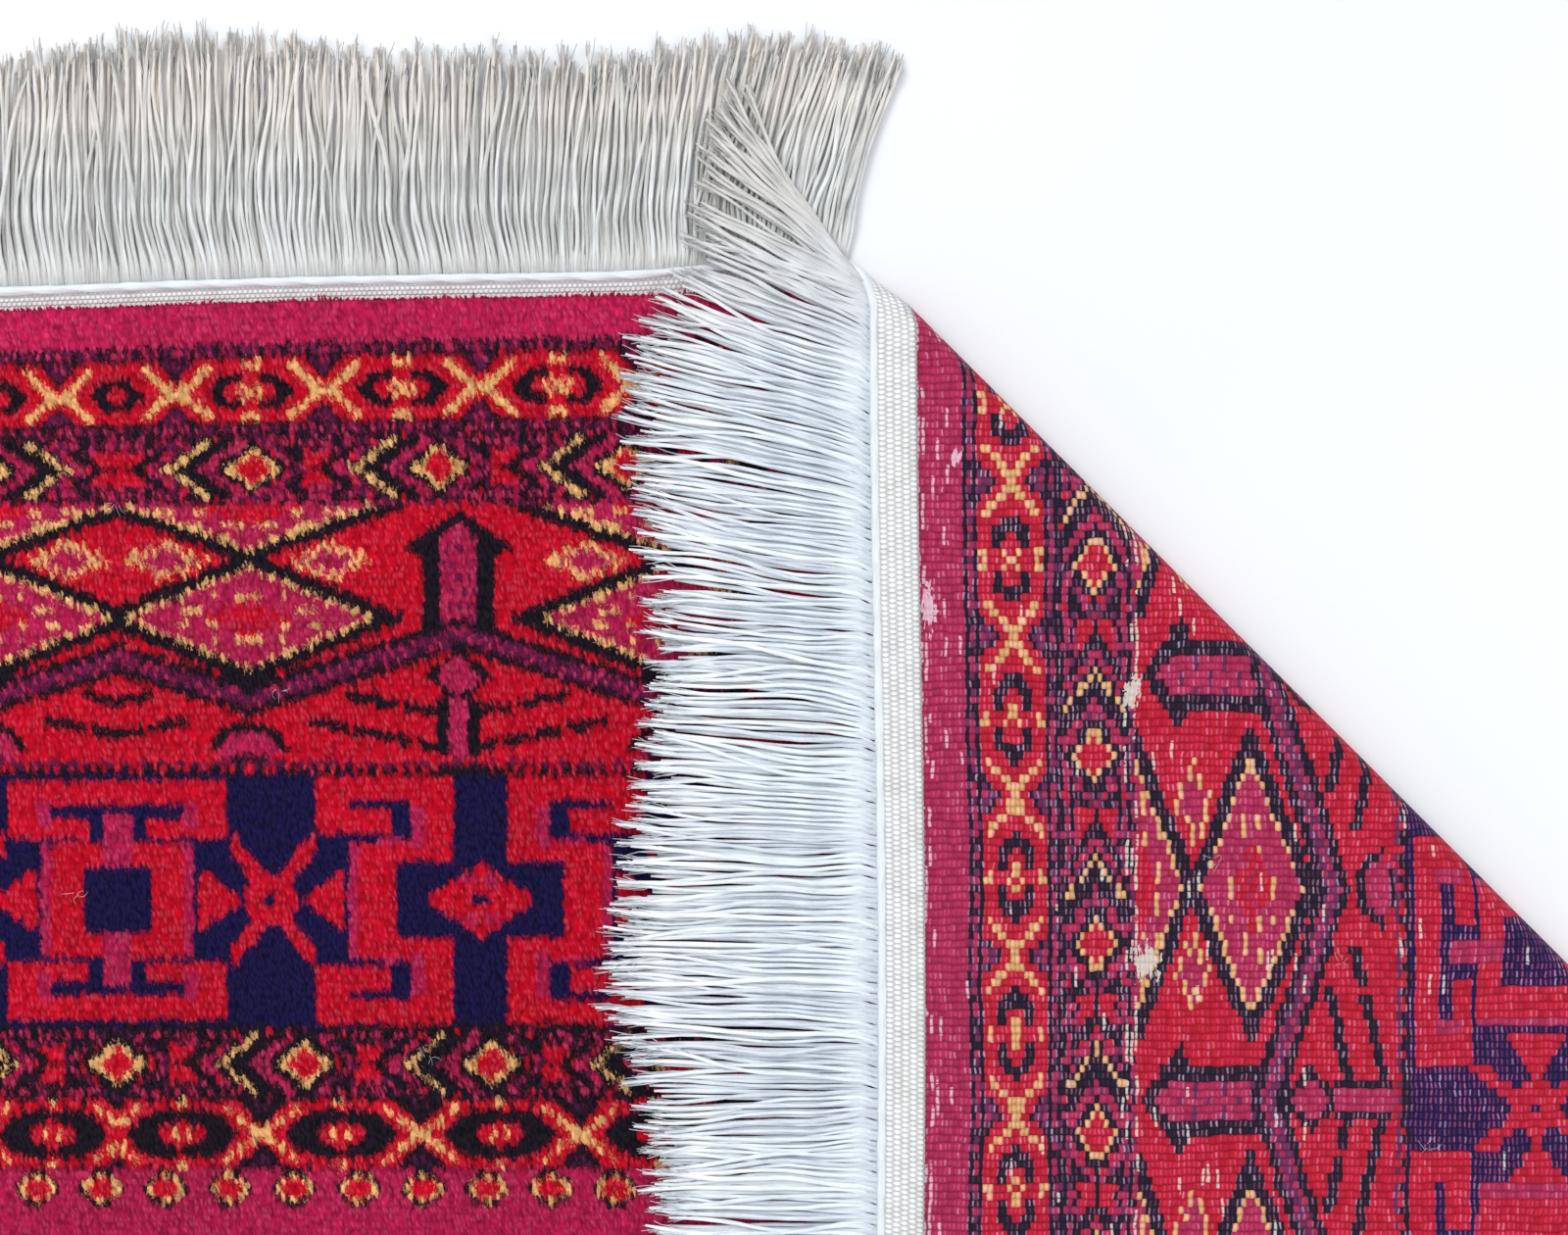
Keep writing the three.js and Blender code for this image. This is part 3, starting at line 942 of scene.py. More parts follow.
def makeRugCloth(materials):
    cell = rugShape["cell"]
    bm = bmesh.new()
    width, length = rugShape["width"], rugShape["length"]
    bmesh.ops.create_grid(
        bm, x_segments=round(width / cell), y_segments=round(length / cell), size=0.5,
        matrix=Matrix.Diagonal((width, length, 1, 1)))

    cutBendLines(bm)
    inner = halfWidth - rugShape["selvedge"]
    rimInset = rugShape["rimInset"]
    for side in (-1, 1):
        for place in (inner - rugShape["rimStep"], inner, halfWidth - rimInset):
            cutAcross(bm, (side * place, 0, 0), (1, 0, 0))
        cutAcross(bm, (0, side * (halfLength - rugShape["endStep"]), 0), (0, 1, 0))

    # the knotted ground, then the pile on it, with a rounded rim
    top, below = bm.faces[:], 0
    pileTop = rugShape["pileTop"]
    for height in (rugShape["foundation"], pileTop - rugShape["rimDepth"], pileTop):
        under = top
        top = raiseFaces(bm, under, height - below)
        if below:
            bmesh.ops.delete(bm, geom=[f for f in under if f.is_valid], context="FACES_ONLY")
        below = height
    bmesh.ops.recalc_face_normals(bm, faces=bm.faces[:])

    bm.verts.index_update()
    u, v, h = np.array([vert.co for vert in bm.verts]).T
    outer = abs(u) > halfWidth - 1e-5
    end = abs(v) > halfLength - 1e-5
    rim = h > pileTop - 1e-5
    u[outer & rim] -= np.sign(u[outer & rim]) * rimInset
    v[end & rim] -= np.sign(v[end & rim]) * rimInset
    h[abs(u) > inner - 1e-5] *= rugShape["selvedgeHeight"] / pileTop
    h[outer & (h < 1e-4)] = rugShape["selvedgeFoot"]
    flat = np.stack([u, v], axis=1)
    v += rugShape["pileLean"] * smooth(h, rugShape["foundation"], pileTop)
    v += edgeStray(u, v, 1) * smooth(v, 0.93, 0.98)
    v -= edgeStray(u, v, 2) * smooth(-v, 0.94, 1.0)
    u += np.sign(u) * edgeStray(u, v, 3) * smooth(abs(u), 0.6, 0.65)

    # materials are pile, back and selvedge
    for face in bm.faces:
        middle = face.calc_center_median()
        if abs(middle.x) > inner:
            face.material_index = 2
        elif middle.z < rugShape["foundation"] - 1e-5:
            face.material_index = 1
    layDown(bm, flat, foldPlaces(np.stack([u, v, h], axis=1)))
    return meshObject("rugCloth", bm, materials)


# Tape and fringe

# Metres. The tape is the plain woven strip between pile and fringe. Where the rug lies
# flat its inner part is under the pile.
tapeShape = {
    "turnedWidth": 0.014,
    "lyingWidth": 0.0085,
    "farShare": 0.8,  # of the width, at the far end
    "thickness": 0.0018,
    "lyingHeight": 0.0036,  # of tape and yarns that lie flat, under the turned yarns
    "cordRadius": 0.0016,
    # how far across it the yarns are rooted, and the cord runs
    "lyingRoots": 0.93,
    "turnedRoots": 0.94,
    "cordLine": 0.92,
    "cell": 0.01,
}

fringeShape = {
    "lyingPitch": 0.00088,
    "turnedPitch": 0.00082,
    "bendPitch": 0.00066,
    "farPitch": 0.0016,
    "lyingTuft": 0.16,  # how closely the roots are drawn together in tufts
    "turnedTuft": 0.14,
    "yarnRadius": 0.0007,
    "underRadius": 0.0009,
    "tipRadius": 0.0004,
    "tipStart": 0.86,
    "thickness": (0.78, 1.22),  # least and most, times the radius
    "fibreRadius": 0.00026,
    "longest": 0.078,
    "shortest": 0.067,
    "lyingLock": 0.0092,
    "turnedLock": 0.0112,
    "gather": 0.55,  # how far a lock's yarns draw together at their tips
    "bendLock": 0.0078,
    "ragged": 0.0085,
    "flow": 0.0024,  # broad drift of the yarns just past their roots
    "sway": 0.0007,
    "strays": 0.05,  # share of the yarns that go right across their neighbours
    "wander": 0.006,
    "crossing": 0.0014,  # how high they go over them
    "lean": 0.0008,
    "hook": 0.0027,  # how far the turned yarns swing as they leave the cord
    "fanLean": 0.31,
    "fanReach": 0.14,
    "fanStart": 0.47,  # how far the first yarns past the fold have turned
    "fanLift": 0.42,  # lift of the turned yarns next to the bend
    "fanFade": 0.07,
    "rings": 13,
    # loose fibres at each yarn's tip, and how far they spread
    "fibres": {"lyingFringe": (7, 0.0011), "turnedFringe": (7, 0.0011), "farFringe": (3, 0.0012)},
    "fibreRings": 7,
    "fibreBegin": (0.68, 0.84),  # shares of the yarn's length
    "fibreEnd": (0.96, 1.03),
    "fibreCurl": 0.0005,
    "fibreLift": 0.0003,
    "fibreLowest": 0.0004,
    # the ends were cut by hand: middle and reach along the edge, and how much longer there
    "lyingCut": [(0.05, 0.045, 0.0055), (0.149, 0.035, -0.006)],
    "turnedCut": [(0.474, 0.02, 0.006)],
}


def tapeWidthAt(line):
    low, high = tapeShape["lyingWidth"], tapeShape["turnedWidth"]
    return low + (high - low) * smooth(line, -0.06, 0.0)


def tapeSinkAt(share):
    # the turned tape comes down at its fringe, to lie on the pile under it
    sink = 2 * bendRadius - tapeShape["thickness"] - rugShape["pileTop"] - rugShape["clearance"]
    return sink * share


def tapePlaces(u, share, h, side):
    # share runs from the pile to the fringe. side is 1 at the turned end, -1 at the far one.
    if side > 0:
        line = pastFold(u, np.full_like(u, halfLength))
        v = halfLength + share * tapeWidthAt(line) + edgeStray(u, halfLength, 1)
        return foldPlaces(np.stack([u, v, h], axis=1), tapeSinkAt(share))
    down = share * tapeShape["turnedWidth"] * tapeShape["farShare"]
    v = -halfLength - down - edgeStray(u, -halfLength, 2)
    return np.stack([u, v, h], axis=1) + np.array(rugShape["place"])


def makeTape(name, side, material):
    bm = bmesh.new()
    width = tapeShape["turnedWidth"]
    bmesh.ops.create_grid(
        bm, x_segments=round(rugShape["width"] / tapeShape["cell"]), y_segments=4, size=0.5,
        matrix=Matrix.Translation((0, halfLength + width / 2, 0))
        @ Matrix.Diagonal((rugShape["width"], width, 1, 1)))
    if side > 0:
        cutBendLines(bm)
    raiseFaces(bm, bm.faces[:], tapeShape["thickness"])
    bmesh.ops.recalc_face_normals(bm, faces=bm.faces[:])
    bm.verts.index_update()
    u, v, h = np.array([vert.co for vert in bm.verts]).T
    share = (v - halfLength) / width
    h = h * (1 - 0.35 * (abs(share - 0.5) > 0.49))  # thinner along both edges
    layDown(bm, np.stack([u, share * width], axis=1), tapePlaces(u, share, h, side))
    if side < 0:
        bmesh.ops.reverse_faces(bm, faces=bm.faces[:])
    return meshObject(name, bm, [material])


def yarnTemplate(sides, rings):
    # a closed straight tube of radius 1 from 0 to 1 along Z
    bm = bmesh.new()
    bmesh.ops.create_cone(bm, cap_ends=True, segments=sides, radius1=1, radius2=1, depth=1,
                          matrix=Matrix.Translation((0, 0, 0.5)))
    for ring in range(1, rings - 1):
        cutAcross(bm, (0, 0, ring / (rings - 1)), (0, 0, 1))
    bm.verts.index_update()
    places = np.array([vert.co for vert in bm.verts])
    faces = [[vert.index for vert in face.verts] for face in bm.faces]
    bm.free()
    return places, faces


def joinAlong(name, courses, radii, sides, material, numbers=None, places=None):
    # One tube along each course, all in one mesh. courses is (yarns, rings, 3), radii is
    # (yarns, rings). The map YarnFlat holds yarn number + turn, and length from the root.
    # A tuft of the pile has its place on the flat rug instead, in RugFlat.
    count, rings = radii.shape
    corners, faces = yarnTemplate(sides, rings)
    ring = np.rint(corners[:, 2] * (rings - 1)).astype(int)
    ahead = np.gradient(courses, axis=1)
    ahead /= np.linalg.norm(ahead, axis=2, keepdims=True)
    aside = np.cross(ahead, (0, 0, 1))
    aside /= np.linalg.norm(aside, axis=2, keepdims=True)
    above = np.cross(aside, ahead)
    verts = (courses[:, ring]
             + (radii[:, ring] * corners[:, 0])[..., None] * aside[:, ring]
             + (radii[:, ring] * corners[:, 1])[..., None] * above[:, ring])
    steps = np.linalg.norm(np.diff(courses, axis=1), axis=2)
    lengths = np.concatenate([np.zeros((count, 1)), np.cumsum(steps, axis=1)], axis=1)
    turns = np.arctan2(corners[:, 1], corners[:, 0]) / (2 * math.pi) % 1
    loops = np.array([corner for face in faces for corner in face])
    loopTurns = []
    for face in faces:
        share = turns[face]
        if share.max() - share.min() > 0.5:
            share = np.where(share < 0.5, share + 1, share)
        loopTurns.extend(share * 0.98)
    loopTurns = np.array(loopTurns)
    sizes = np.array([len(face) for face in faces])
    starts = np.concatenate([[0], np.cumsum(sizes)[:-1]])
    copy = np.arange(count)[:, None]
    mesh = bpy.data.meshes.new(name)
    mesh.vertices.add(count * len(corners))
    mesh.vertices.foreach_set("co", verts.reshape(-1).astype(np.float32))
    mesh.loops.add(count * len(loops))
    allLoops = loops[None] + copy * len(corners)
    mesh.loops.foreach_set("vertex_index", allLoops.reshape(-1).astype(np.int32))
    mesh.polygons.add(count * len(faces))
    allStarts = starts[None] + copy * len(loops)
    mesh.polygons.foreach_set("loop_start", allStarts.reshape(-1).astype(np.int32))
    mesh.update(calc_edges=True)
    if places is None:
        across = loopTurns[None] + 2.0 * numbers[:, None]
        mapped = np.stack([across, lengths[:, ring[loops]]], axis=2)
    else:
        mapped = np.repeat(places[:, None], len(loops), axis=1)
    layer = mesh.uv_layers.new(name="YarnFlat" if places is None else "RugFlat")
    layer.data.foreach_set("uv", mapped.reshape(-1).astype(np.float32))
    mesh.materials.append(material)
    mesh.shade_smooth()
    return addObject(name, mesh)


def pileHeightUnder(y):
    # what a fallen yarn comes to rest on: the pile, the tape or the yarns that lie flat
    low = tapeShape["lyingHeight"]
    edge = smooth(y - rugShape["place"][1], halfLength + 0.008, halfLength + 0.003)
    return low + (rugShape["pileTop"] + rugShape["clearance"] - low) * edge


def locksOf(numbers, perLock):
    # Every other yarn lies straight underneath. The others lie over them in two layers, 1 and
    # 3, whose locks are half a lock apart.
    layer = numbers % 4
    shift = 0.5 * (layer == 3)
    lock = np.floor(numbers / perLock + shift + 0.3 * np.sin(numbers / 13.7))
    middle = (lock + 0.5 - shift) * perLock
    return lock, middle, layer


def fringeCourses(roots, headings, startHeights, lengths, numbers, luck, onPile, settle):
    # Every yarn leaves its root along its heading, sways with its lock and draws in to the
    # lock's tip. roots is (n, 3), headings are angles from +X.
    shape = fringeShape
    t = np.linspace(0, 1, shape["rings"])[None]
    spot = numbers[:, None] * luck["pitch"]
    lock, middle, layer = locksOf(numbers, luck["perLock"])
    own = luck["random"]
    turn = 2 * math.pi
    pull = (middle - numbers)[:, None] * luck["pitch"] * luck["gather"] * luck["hand"]
    side = pull * smooth(t, luck["drawsIn"], 1.02)
    flow = 0.6 * np.sin(turn * spot / 0.083 + luck["phase"])
    flow = flow + 0.45 * np.sin(turn * spot / 0.037 + 2 * luck["phase"])
    side = side + shape["flow"] * (luck["slant"] + flow) * smooth(t, 0, 0.32)
    side = side - shape["hook"] * luck["hooked"] * smooth(t, 0, 0.1)
    lockSway = np.sin(turn * (0.8 * t + 0.37 * lock[:, None]))
    lockSway = lockSway + 0.5 * np.sin(turn * (1.7 * t + 0.61 * lock[:, None]))
    side = side + shape["sway"] * lockSway * smooth(t, 0, 0.4)
    ownSway = own[:, 0:1] * np.sin(turn * (1.5 * t + own[:, 1:2]))
    side = side + shape["sway"] * ownSway * smooth(t, 0, 0.2)
    aslant = own[:, 5:6]
    stray = abs(aslant) > 1 - shape["strays"]
    side = side + np.where(stray, np.sign(aslant) * shape["wander"], shape["lean"] * aslant) * t ** 1.4
    under = (layer % 2 == 0)[:, None]
    straight = shape["flow"] * luck["slant"] * smooth(t, 0, 0.32)
    side = np.where(under, luck["tied"] * side + (1 - luck["tied"]) * straight, side)
    ahead = lengths[:, None] * t
    x = roots[:, 0:1] + np.cos(headings)[:, None] * ahead - np.sin(headings)[:, None] * side
    y = roots[:, 1:2] + np.sin(headings)[:, None] * ahead + np.cos(headings)[:, None] * side
    ground = pileHeightUnder(y) if onPile else np.zeros_like(x)
    over = np.where(under, 0, 1.5 + 0.55 * (layer[:, None] - 1))
    raised = shape["yarnRadius"] * (1.3 + over * smooth(t, 0, 0.2)
                                    + 0.4 * np.sin(turn * (1.2 * t + own[:, 4:5])) * t)
    crossing = np.where(stray & ~under, shape["crossing"], 0) * np.sin(math.pi * t)
    rest = ground + raised + crossing
    start = startHeights[:, None]
    z = start + (rest - start) * smooth(t, 0.0, settle[:, None])
    z = np.maximum(z, ground + shape["yarnRadius"] * 0.95)
    return np.stack([x, y, z], axis=2)


def frayed(courses, numbers, dice, fibres, spread):
    # fine fibres that leave each yarn near its end and stop round its tip
    rings = fringeShape["fibreRings"]
    count = len(courses)
    t = np.linspace(0, 1, rings)
    made, labels = [], []
    old = np.linspace(0, 1, courses.shape[1])
    for fibre in range(fibres):
        begin = dice.uniform(*fringeShape["fibreBegin"], count)
        reach = dice.uniform(*fringeShape["fibreEnd"], count)
        spots = begin[:, None] + (reach - begin)[:, None] * t[None]
        path = np.stack([[np.interp(spots[n], old, courses[n, :, axis]) for n in range(count)]
                         for axis in range(3)], axis=2)
        beyond = np.maximum(spots - 1, 0)[..., None]
        path = path + beyond * (courses[:, -1] - courses[:, -2])[:, None] * (courses.shape[1] - 1)
        heading = courses[:, -1] - courses[:, -3]
        heading[:, 2] = 0
        heading /= np.linalg.norm(heading, axis=1, keepdims=True)
        across = np.stack([-heading[:, 1], heading[:, 0], np.zeros(count)], axis=1)
        away = dice.normal(0, spread, count)[:, None] * t[None] ** 1.5
        curling = t[None] * dice.uniform(0.8, 1.8, count)[:, None] + dice.uniform(0, 1, count)[:, None]
        curl = fringeShape["fibreCurl"] * np.sin(2 * math.pi * curling) * t[None]
        path = path + (away + curl)[..., None] * across[:, None]
        path[..., 2] += abs(dice.normal(0, fringeShape["fibreLift"], count))[:, None] * t[None]
        path[..., 2] = np.maximum(path[..., 2], fringeShape["fibreLowest"])
        made.append(path)
        labels.append(numbers + 0.13 * fibre)
    courses = np.concatenate(made)
    radii = np.full(courses.shape[:2], fringeShape["fibreRadius"]) * np.linspace(1.5, 0.5, rings)[None]
    return courses, radii, np.concatenate(labels)


def yarnRadii(numbers, dice):
    count = len(numbers)
    t = np.linspace(0, 1, fringeShape["rings"])[None]
    thick = np.where(numbers % 2 == 0, fringeShape["underRadius"], fringeShape["yarnRadius"])
    thick = (thick * dice.uniform(*fringeShape["thickness"], count))[:, None]
    swell = np.sin(2 * math.pi * (t * 3 + dice.uniform(0, 1, count)[:, None]))
    body = thick * (1 - 0.08 * t) * (1 + 0.1 * swell)
    return body + (fringeShape["tipRadius"] - body) * smooth(t, fringeShape["tipStart"], 1.0)


def fringeLengths(numbers, luck, dice):
    # a lock's tip is a soft point, and neighbouring locks differ a little
    long, short = fringeShape["longest"], fringeShape["shortest"]
    lock, middle, layer = locksOf(numbers, luck["perLock"])
    slow = 0.5 + 0.09 * np.sin(numbers / 26.1 + luck["phase"])
    slow = slow + 0.09 * np.sin(numbers / 57.3 + 2.3 * luck["phase"])
    ofLock = 0.4 * np.sin(lock * 12.9898 + 78.233 * luck["phase"]) - 0.12 * (layer == 3)
    off = np.minimum(abs(middle - numbers) / luck["perLock"] * 2, 1)
    over = short + (long - short) * (slow + ofLock) + fringeShape["ragged"] * (0.3 - off ** 0.8)
    under = (short + (long - short) * (slow + 0.7 * ofLock)
             + fringeShape["ragged"] * (0.15 - 0.75 * off ** 0.8) - luck["bare"])
    return np.where(layer % 2 == 0, under, over) + 0.0008 * dice.uniform(-1, 1, len(numbers))


def fringeLuck(count, pitch, lockWidth, phase, hand, dice):
    # slant and hooked shape the roots. bare is how much shorter the yarns underneath are, and
    # tied is how closely they follow their lock, which draws in past the length drawsIn.
    return {"perLock": lockWidth / pitch, "pitch": pitch, "hand": hand, "phase": phase,
            "gather": fringeShape["gather"], "drawsIn": 0.4, "tied": 0.3, "slant": 0.0,
            "hooked": 0.0, "bare": 0.0006,
            "random": dice.uniform(-1, 1, (count, 6))}


def makeFringe(name, courses, numbers, dice, material):
    yarnsPiece = joinAlong(name, courses, yarnRadii(numbers, dice), 6, material, numbers)
    fibres, spread = fringeShape["fibres"][name]
    loose = numbers % 2 == 1
    fibreCourses, fibreRadii, labels = frayed(courses[loose], numbers[loose], dice, fibres, spread)
    fibrePiece = joinAlong(name + "Fibres", fibreCourses, fibreRadii, 3, material, labels)
    for piece in (yarnsPiece, fibrePiece):
        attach(piece, "root")
    return yarnsPiece, fibrePiece


def strung(u, pitch, tufted, dice):
    # yarns in a row, a little uneven and drawn together in tufts of four
    numbers = np.arange(len(u))
    u = u + dice.uniform(-0.2, 0.2, len(u)) * pitch
    return numbers, u + tufted * (np.floor(numbers / 4) * 4 + 1.5 - numbers) * pitch


def cutBy(u, cuts):
    return sum(longer * hump(u, middle, reach) for middle, reach, longer in cuts)


def makeLyingFringe(material):
    dice = np.random.default_rng(11)
    pitch = fringeShape["lyingPitch"]
    last = rugShape["foldStart"] - 0.002
    u = np.concatenate([np.arange(-halfWidth + 0.0015, last - 0.05, pitch),
                        np.arange(last - 0.05, last, 0.72 * pitch)])
    numbers, u = strung(u, pitch, fringeShape["lyingTuft"], dice)
    h = np.full_like(u, tapeShape["thickness"] * 0.55)
    roots = tapePlaces(u, np.full_like(u, tapeShape["lyingRoots"]), h, 1)
    beside = np.clip((rugShape["foldStart"] - 0.014 - u) / fringeShape["fanReach"], 0, 1)
    headings = math.pi / 2 - fringeShape["fanLean"] * (1 - beside) ** 2
    luck = fringeLuck(len(u), pitch, fringeShape["lyingLock"], 1.0, -1, dice)
    luck["slant"] = 1.3
    # the yarns are shortest next to the bend
    cut = cutBy(u, fringeShape["lyingCut"])
    cut = cut + 0.0035 * smooth(u, 0.15, 0.18) - 0.012 * smooth(u, last - 0.035, last)
    lengths = fringeLengths(numbers, luck, dice) + 0.002 + cut
    courses = fringeCourses(roots, headings, h, lengths, numbers, luck, False, np.full(len(u), 0.12))
    return makeFringe("lyingFringe", courses, numbers, dice, material)


# what fringeLuck holds for the yarns in the bend, and for those past it
turnedLuck = {"gather": (2.6, 1.2), "drawsIn": (0.1, 0.4), "tied": (1.0, 0.3), "hooked": (0, 1)}


def makeTurnedFringe(material):
    dice = np.random.default_rng(23)
    pitch = fringeShape["turnedPitch"]
    first = rugShape["foldStart"] - 0.0115
    bendEnd = rugShape["foldStart"] + bendLength * root2 - 0.012
    # the yarns spread out as a fan round the bend, so more of them are drawn there
    u = np.concatenate([np.arange(first, bendEnd, fringeShape["bendPitch"]),
                        np.arange(bendEnd, halfWidth - 0.001, pitch)])
    numbers, u = strung(u, pitch, fringeShape["turnedTuft"], dice)
    h = np.full_like(u, tapeShape["thickness"] * 0.6)
    rooted = tapeShape["turnedRoots"]
    roots = tapePlaces(u, np.full_like(u, rooted), h, 1)
    # the way a yarn leaves its root turns with the bend, and the first ones past it are lifted
    turn = np.clip(pastFold(u, halfLength + rooted * tapeShape["turnedWidth"]) / bendLength, 0, 1)
    lift, start = fringeShape["fanLift"], fringeShape["fanStart"]
    headings = math.pi / 2 + (start + (math.pi / 2 - lift - start) * turn)
    headings = headings + lift * (1 - np.exp(-np.maximum(u - bendEnd, 0) / fringeShape["fanFade"]))
    inBend = turn < 1
    headings = headings + dice.uniform(-1, 1, len(u)) * 0.03 * inBend
    luck = fringeLuck(len(u), pitch, fringeShape["turnedLock"], 4.0, 1, dice)
    luck["perLock"] = np.where(inBend, fringeShape["bendLock"], fringeShape["turnedLock"]) / pitch
    for key, (inside, past) in turnedLuck.items():
        luck[key] = np.where(inBend, inside, past)[:, None]
    luck["bare"] = np.where(inBend, 0.003, 0.0065)
    luck["gather"] = fringeShape["gather"] * luck["gather"]
    lock = locksOf(numbers, luck["perLock"])[0]
    headings = headings + 0.05 * np.sin(7.3 * lock) * inBend
    lengths = fringeLengths(numbers, luck, dice)
    cut = 0.0155 * smooth(u, bendEnd, bendEnd + 0.045) - 0.01
    cut = cut + cutBy(u, fringeShape["turnedCut"])
    lengths = lengths + np.where(inBend, -0.004 - 0.006 * turn, cut)
    courses = fringeCourses(roots, headings, roots[:, 2], lengths, numbers, luck,
                            True, np.where(inBend, 0.62, 0.22))
    return makeFringe("turnedFringe", courses, numbers, dice, material)


def makeFarFringe(material):
    dice = np.random.default_rng(37)
    pitch = fringeShape["farPitch"]
    numbers, u = strung(np.arange(-halfWidth + 0.0015, halfWidth - 0.001, pitch), pitch, 0.0, dice)
    h = np.full_like(u, tapeShape["thickness"] * 0.55)
    roots = tapePlaces(u, np.full_like(u, tapeShape["lyingRoots"]), h, -1)
    headings = np.full(len(u), -math.pi / 2)
    luck = fringeLuck(len(u), pitch, fringeShape["turnedLock"], 2.0, 1, dice)
    lengths = fringeLengths(numbers, luck, dice)
    courses = fringeCourses(roots, headings, h, lengths, numbers, luck, False, np.full(len(u), 0.12))
    return makeFringe("farFringe", courses, numbers, dice, material)


def makeRootCord(name, side, material):
    # the bright cord that closes the tape where the fringe leaves it
    dice = np.random.default_rng(3)
    u = np.linspace(-halfWidth + 0.001, halfWidth - 0.001, 700 if side > 0 else 240)
    h = np.full_like(u, tapeShape["thickness"] * 0.5)
    course = tapePlaces(u, np.full_like(u, tapeShape["cordLine"]), h, side)
    course[:, 2] = np.maximum(course[:, 2], tapeShape["cordRadius"])
    wrapped = 0.05 * np.sin(u / 0.0021 + np.sin(u / 0.004)) + 0.04 * np.sin(u / 0.0073)
    radii = tapeShape["cordRadius"] * (1 + wrapped + 0.03 * dice.uniform(-1, 1, len(u)))
    return joinAlong(name, course[None], radii[None], 8, material, np.array([3.0]))


rimShape = {
    "pitch": 0.0012,
    "rows": 3,
    "rowStep": 0.0009,
    "overhang": 0.0019,  # how far the outermost tufts reach over the tape
    "aslant": 0.0007,
    "clumps": 60,  # per edge and row
    "clumpReach": 0.0012,
    "tuftRadius": 0.00052,
}


def makeRimTufts(material):
    # the tufts that lean out over the pile's edges, all round
    dice = np.random.default_rng(5)
    shape = rimShape
    top = rugShape["pileTop"]
    sideEdge = halfWidth - rugShape["selvedge"]
    edges = []
    for side in (1, -1):
        for row in range(shape["rows"]):
            u = np.arange(-sideEdge, sideEdge, shape["pitch"])
            inset = row * shape["rowStep"]
            edges.append((u, np.full_like(u, side * (halfLength - inset)), 0, side, row))
            v = np.arange(-halfLength + 0.003, halfLength - 0.003, shape["pitch"] * 1.6)
            edges.append((np.full_like(v, side * (sideEdge - inset)), v, side, 0, row))
    courses, places = [], []
    for u, v, outU, outV, row in edges:
        u = u + dice.uniform(-0.4, 0.4, len(u)) * shape["pitch"] * (outV != 0)
        v = v + dice.uniform(-0.4, 0.4, len(v)) * shape["pitch"] * (outU != 0)
        clump = 0.5 + 0.3 * np.sin((u + v) / 0.0067) + 0.2 * np.sin((u + v) / 0.0171 + 2)
        for middle in dice.uniform(-1, 1, shape["clumps"]) * (halfLength if outU else halfWidth):
            clump = clump + 0.8 * hump(v if outU else u, middle, shape["clumpReach"])
        out = shape["overhang"] * (0.1 + 0.7 * clump * dice.uniform(0.75, 1, len(u)) - 0.15 * row)
        aslant = dice.normal(0, shape["aslant"], len(u))
        steps = []
        for share, height in ((-0.6, 0.5), (0.35, 0.86), (1.0, 0.97 - 0.1 * clump)):
            flatU = u + outU * out * share + aslant * share * (outV != 0)
            flatV = v + outV * out * share + aslant * share * (outU != 0)
            flatV = flatV + rugShape["pileLean"] * np.minimum(height, 1) * 0.7
            flatV = flatV + edgeStray(u, v, 1 if outV > 0 else 2) * outV
            steps.append(foldPlaces(np.stack([flatU, flatV, np.full_like(u, top) * height], axis=1)))
        courses.append(np.stack(steps, axis=1))
        places.append(np.stack([u - outU * 0.002, v - outV * 0.002], axis=1))
    courses = np.concatenate(courses)
    thick = shape["tuftRadius"] * dice.uniform(0.75, 1.2, len(courses))
    radii = thick[:, None] * np.array([1.0, 0.95, 0.35])[None]
    return joinAlong("rimTufts", courses, radii, 3, material, places=np.concatenate(places))


lintShape = {
    "radius": 0.00007,
    "length": 0.005,
    "threads": 5,  # in each fluff
    "scatter": 0.0006,
    # x and y of the fluffs on the turned back, then of those on the pile
    "onBack": [(0.3808, 0.7927), (0.4081, 0.7351), (0.342, 0.823), (0.391, 0.705)],
    "onPile": [(0.0, 0.934), (0.052, 0.876), (0.097, 0.761), (-0.012, 0.812)],
}


def makeLint(material):
    # bits of fluff and loose thread
    dice = np.random.default_rng(8)
    t = np.linspace(0, 1, 9)
    courses = []
    heights = {"onBack": 2 * bendRadius + 0.0002, "onPile": rugShape["pileTop"] + 0.0002}
    for spots, height in heights.items():
        for x, y in lintShape[spots]:
            for _ in range(lintShape["threads"]):
                turn, curl = dice.uniform(0, 2 * math.pi), dice.uniform(-2.6, 2.6)
                reach = lintShape["length"] * dice.uniform(0.3, 1)
                bend = turn + curl * t
                step = np.stack([np.cos(bend), np.sin(bend)], axis=1) * reach / len(t)
                start = np.array([x, y]) + dice.normal(0, lintShape["scatter"], 2)
                path = start + np.cumsum(step, axis=0)
                courses.append(np.column_stack([path, height + 0.0006 * np.sin(math.pi * t)]))
    courses = np.array(courses)
    radii = np.full(courses.shape[:2], lintShape["radius"]) * np.linspace(1, 0.6, len(t))[None]
    return joinAlong("lint", courses, radii, 4, material, numbers=np.arange(len(courses)))


tapeLook = {
    "beadWide": 0.0016,
    "beadLong": 0.0024,
    "dark": (228, 227, 223),
    "light": (247, 248, 247),
    # painted shade in the gaps between beads
    "gap": (150, 148, 152),
    "bump": (0.8, 0.0006),
    "surface": {"Roughness": 0.8, "Specular IOR Level": 0.3},
}


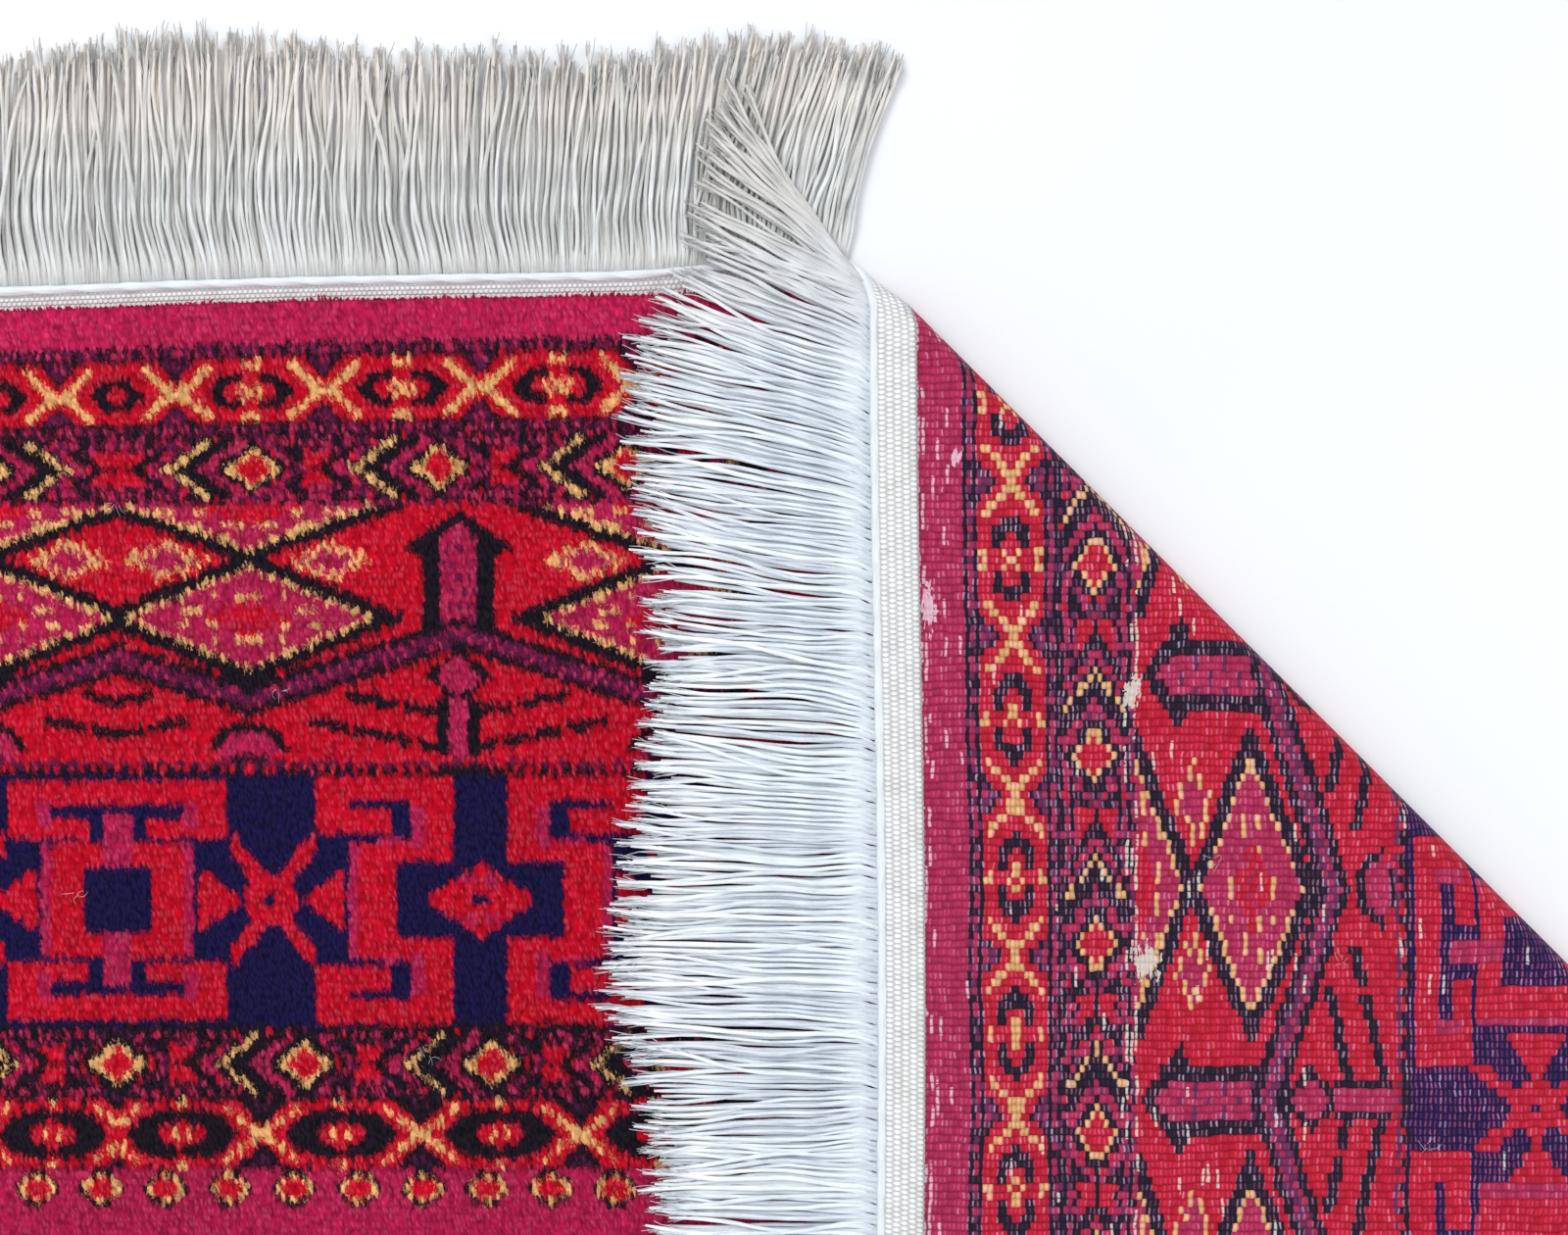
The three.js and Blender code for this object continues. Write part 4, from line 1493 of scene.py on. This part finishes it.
def makeTapeMaterial():
    # plain weave: beads in courses, each course half a bead along from the last
    look = tapeLook
    material, bench = newMaterial("tapeWeave")
    flat = bench.flat("RugFlat")
    x, y = bench.split(flat)
    across = bench.over(x, look["beadWide"])
    down = bench.over(y, look["beadLong"])
    shifted = bench.plus(across, bench.times(bench.floor(down), 0.5))
    # the gaps between beads are painted grey, as painted shade
    gap = bench.range(bench.reach(bench.offMiddle(shifted), bench.offMiddle(down)), 0.3, 0.56)
    tone = bench.grain(flat, 180.0, 3.0, 0.6)
    colour = bench.blend(bench.times(gap, 0.5), mottled(bench, tone, look), fromScreen(*look["gap"]))
    height = bench.plus(bench.minus(1.0, gap), bench.times(bench.grain(flat, 1900.0, 2.0, 0.6), 0.5))
    coat(bench, colour, look, height)
    return material


cottonTones = {
    "lying": [(196, 194, 190), (219, 220, 218), (238, 241, 241), (240, 226, 212)],
    "turned": [(206, 212, 221), (231, 239, 246), (249, 253, 255), (254, 255, 255)],
    "cord": [(206, 211, 214), (219, 224, 227), (232, 237, 240), (232, 237, 240)],
}

cottonLook = {
    "handled": (201, 191, 178),
    "fanStart": 0.975,  # how far along the rug the handled yarns begin
    "fanEnd": 1.03,
    "bump": (0.6, 0.0005),
    "surface": {"Roughness": 0.7, "Sheen Weight": 0.08, "Specular IOR Level": 0.25},
}


def makeYarnMaterial(name, tones, aging, fan=0.0):
    # Tones go from shaded to clean cotton, and the last is the tips' own, of which they take on
    # as much as aging says. fan is how tanned the yarns are beyond the rug's end.
    material, bench = newMaterial(name)
    flat = bench.flat("YarnFlat")
    x, y = bench.split(flat)
    number = bench.floor(bench.times(x, 0.5))
    luck = bench.luckOf(number)
    grain = bench.grain(bench.join(bench.times(x, 9.0), bench.times(y, 160.0)), 1.6, 3.0, 0.6)
    tone = bench.plus(bench.times(grain, 0.6), bench.times(luck, 0.4))
    stops = [(place, fromScreen(*colour)) for place, colour in zip((0.2, 0.5, 0.85), tones)]
    cotton = bench.ramp(tone, stops).outputs["Color"]
    # the yarns of the lowest layer are painted darker, as painted shade from the yarns over them
    low = bench.below(bench.math("FRACT", bench.over(number, 2.0)), 0.25)
    withPaintedLight = bench.blend(bench.times(low, 0.5), cotton, fromScreen(*tones[0]))
    aged = bench.range(luck, 0.1, 1.0, 0.4 * aging, aging)
    aged = bench.times(bench.range(y, 0.03, 0.075), aged)
    browned = bench.blend(aged, withPaintedLight, fromScreen(*tones[3]))
    # the fan at the bend has been handled most
    near = bench.split(bench.node("ShaderNodeTexCoord").outputs["Object"])[1]
    handled = bench.range(near, cottonLook["fanStart"], cottonLook["fanEnd"], 0.0, fan)
    colour = bench.blend(handled, browned, fromScreen(*cottonLook["handled"]))
    # three loosely turned plies
    winding = bench.plus(bench.times(y, 70.0), bench.times(x, 3.0))
    ply = bench.size(bench.wave(winding, math.pi))
    fibre = bench.grain(bench.join(bench.times(x, 14.0), bench.times(y, 90.0)), 1.0, 2.0, 0.6)
    coat(bench, colour, cottonLook, bench.plus(bench.times(ply, 0.9), fibre))
    return material


def main():
    tell("camera, light and floor")
    makeCamera()
    makeLight()
    makeFloor(makeFloorMaterial())
    tell("design charts")
    design = designGroup()
    pile = makePileMaterial(design)
    back = makeBackMaterial(design)
    selvedge = makeSelvedgeMaterial()
    tell("rug cloth")
    cloth = makeRugCloth([pile, back, selvedge])
    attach(cloth, "root")
    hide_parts("rug_body")
    tell("rim tufts")
    rim = makeRimTufts(pile)
    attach(rim, "root")
    tell("tape")
    weave = makeTapeMaterial()
    lyingCotton = makeYarnMaterial("lyingCotton", cottonTones["lying"], 0.9)
    turnedCotton = makeYarnMaterial("turnedCotton", cottonTones["turned"], 0.8, 0.6)
    cordCotton = makeYarnMaterial("cordCotton", cottonTones["cord"], 0.0)
    nearTape = makeTape("nearTape", 1, weave)
    farTape = makeTape("farTape", -1, weave)
    nearCord = makeRootCord("nearRootCord", 1, cordCotton)
    farCord = makeRootCord("farRootCord", -1, cordCotton)
    lint = makeLint(cordCotton)
    for piece in (nearTape, farTape, nearCord, farCord, lint):
        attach(piece, "root")
    tell("fringe")
    lying = makeLyingFringe(lyingCotton)
    turned = makeTurnedFringe(turnedCotton)
    far = makeFarFringe(lyingCotton)
    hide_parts("near_fringe")
    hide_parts("far_fringe")


main()
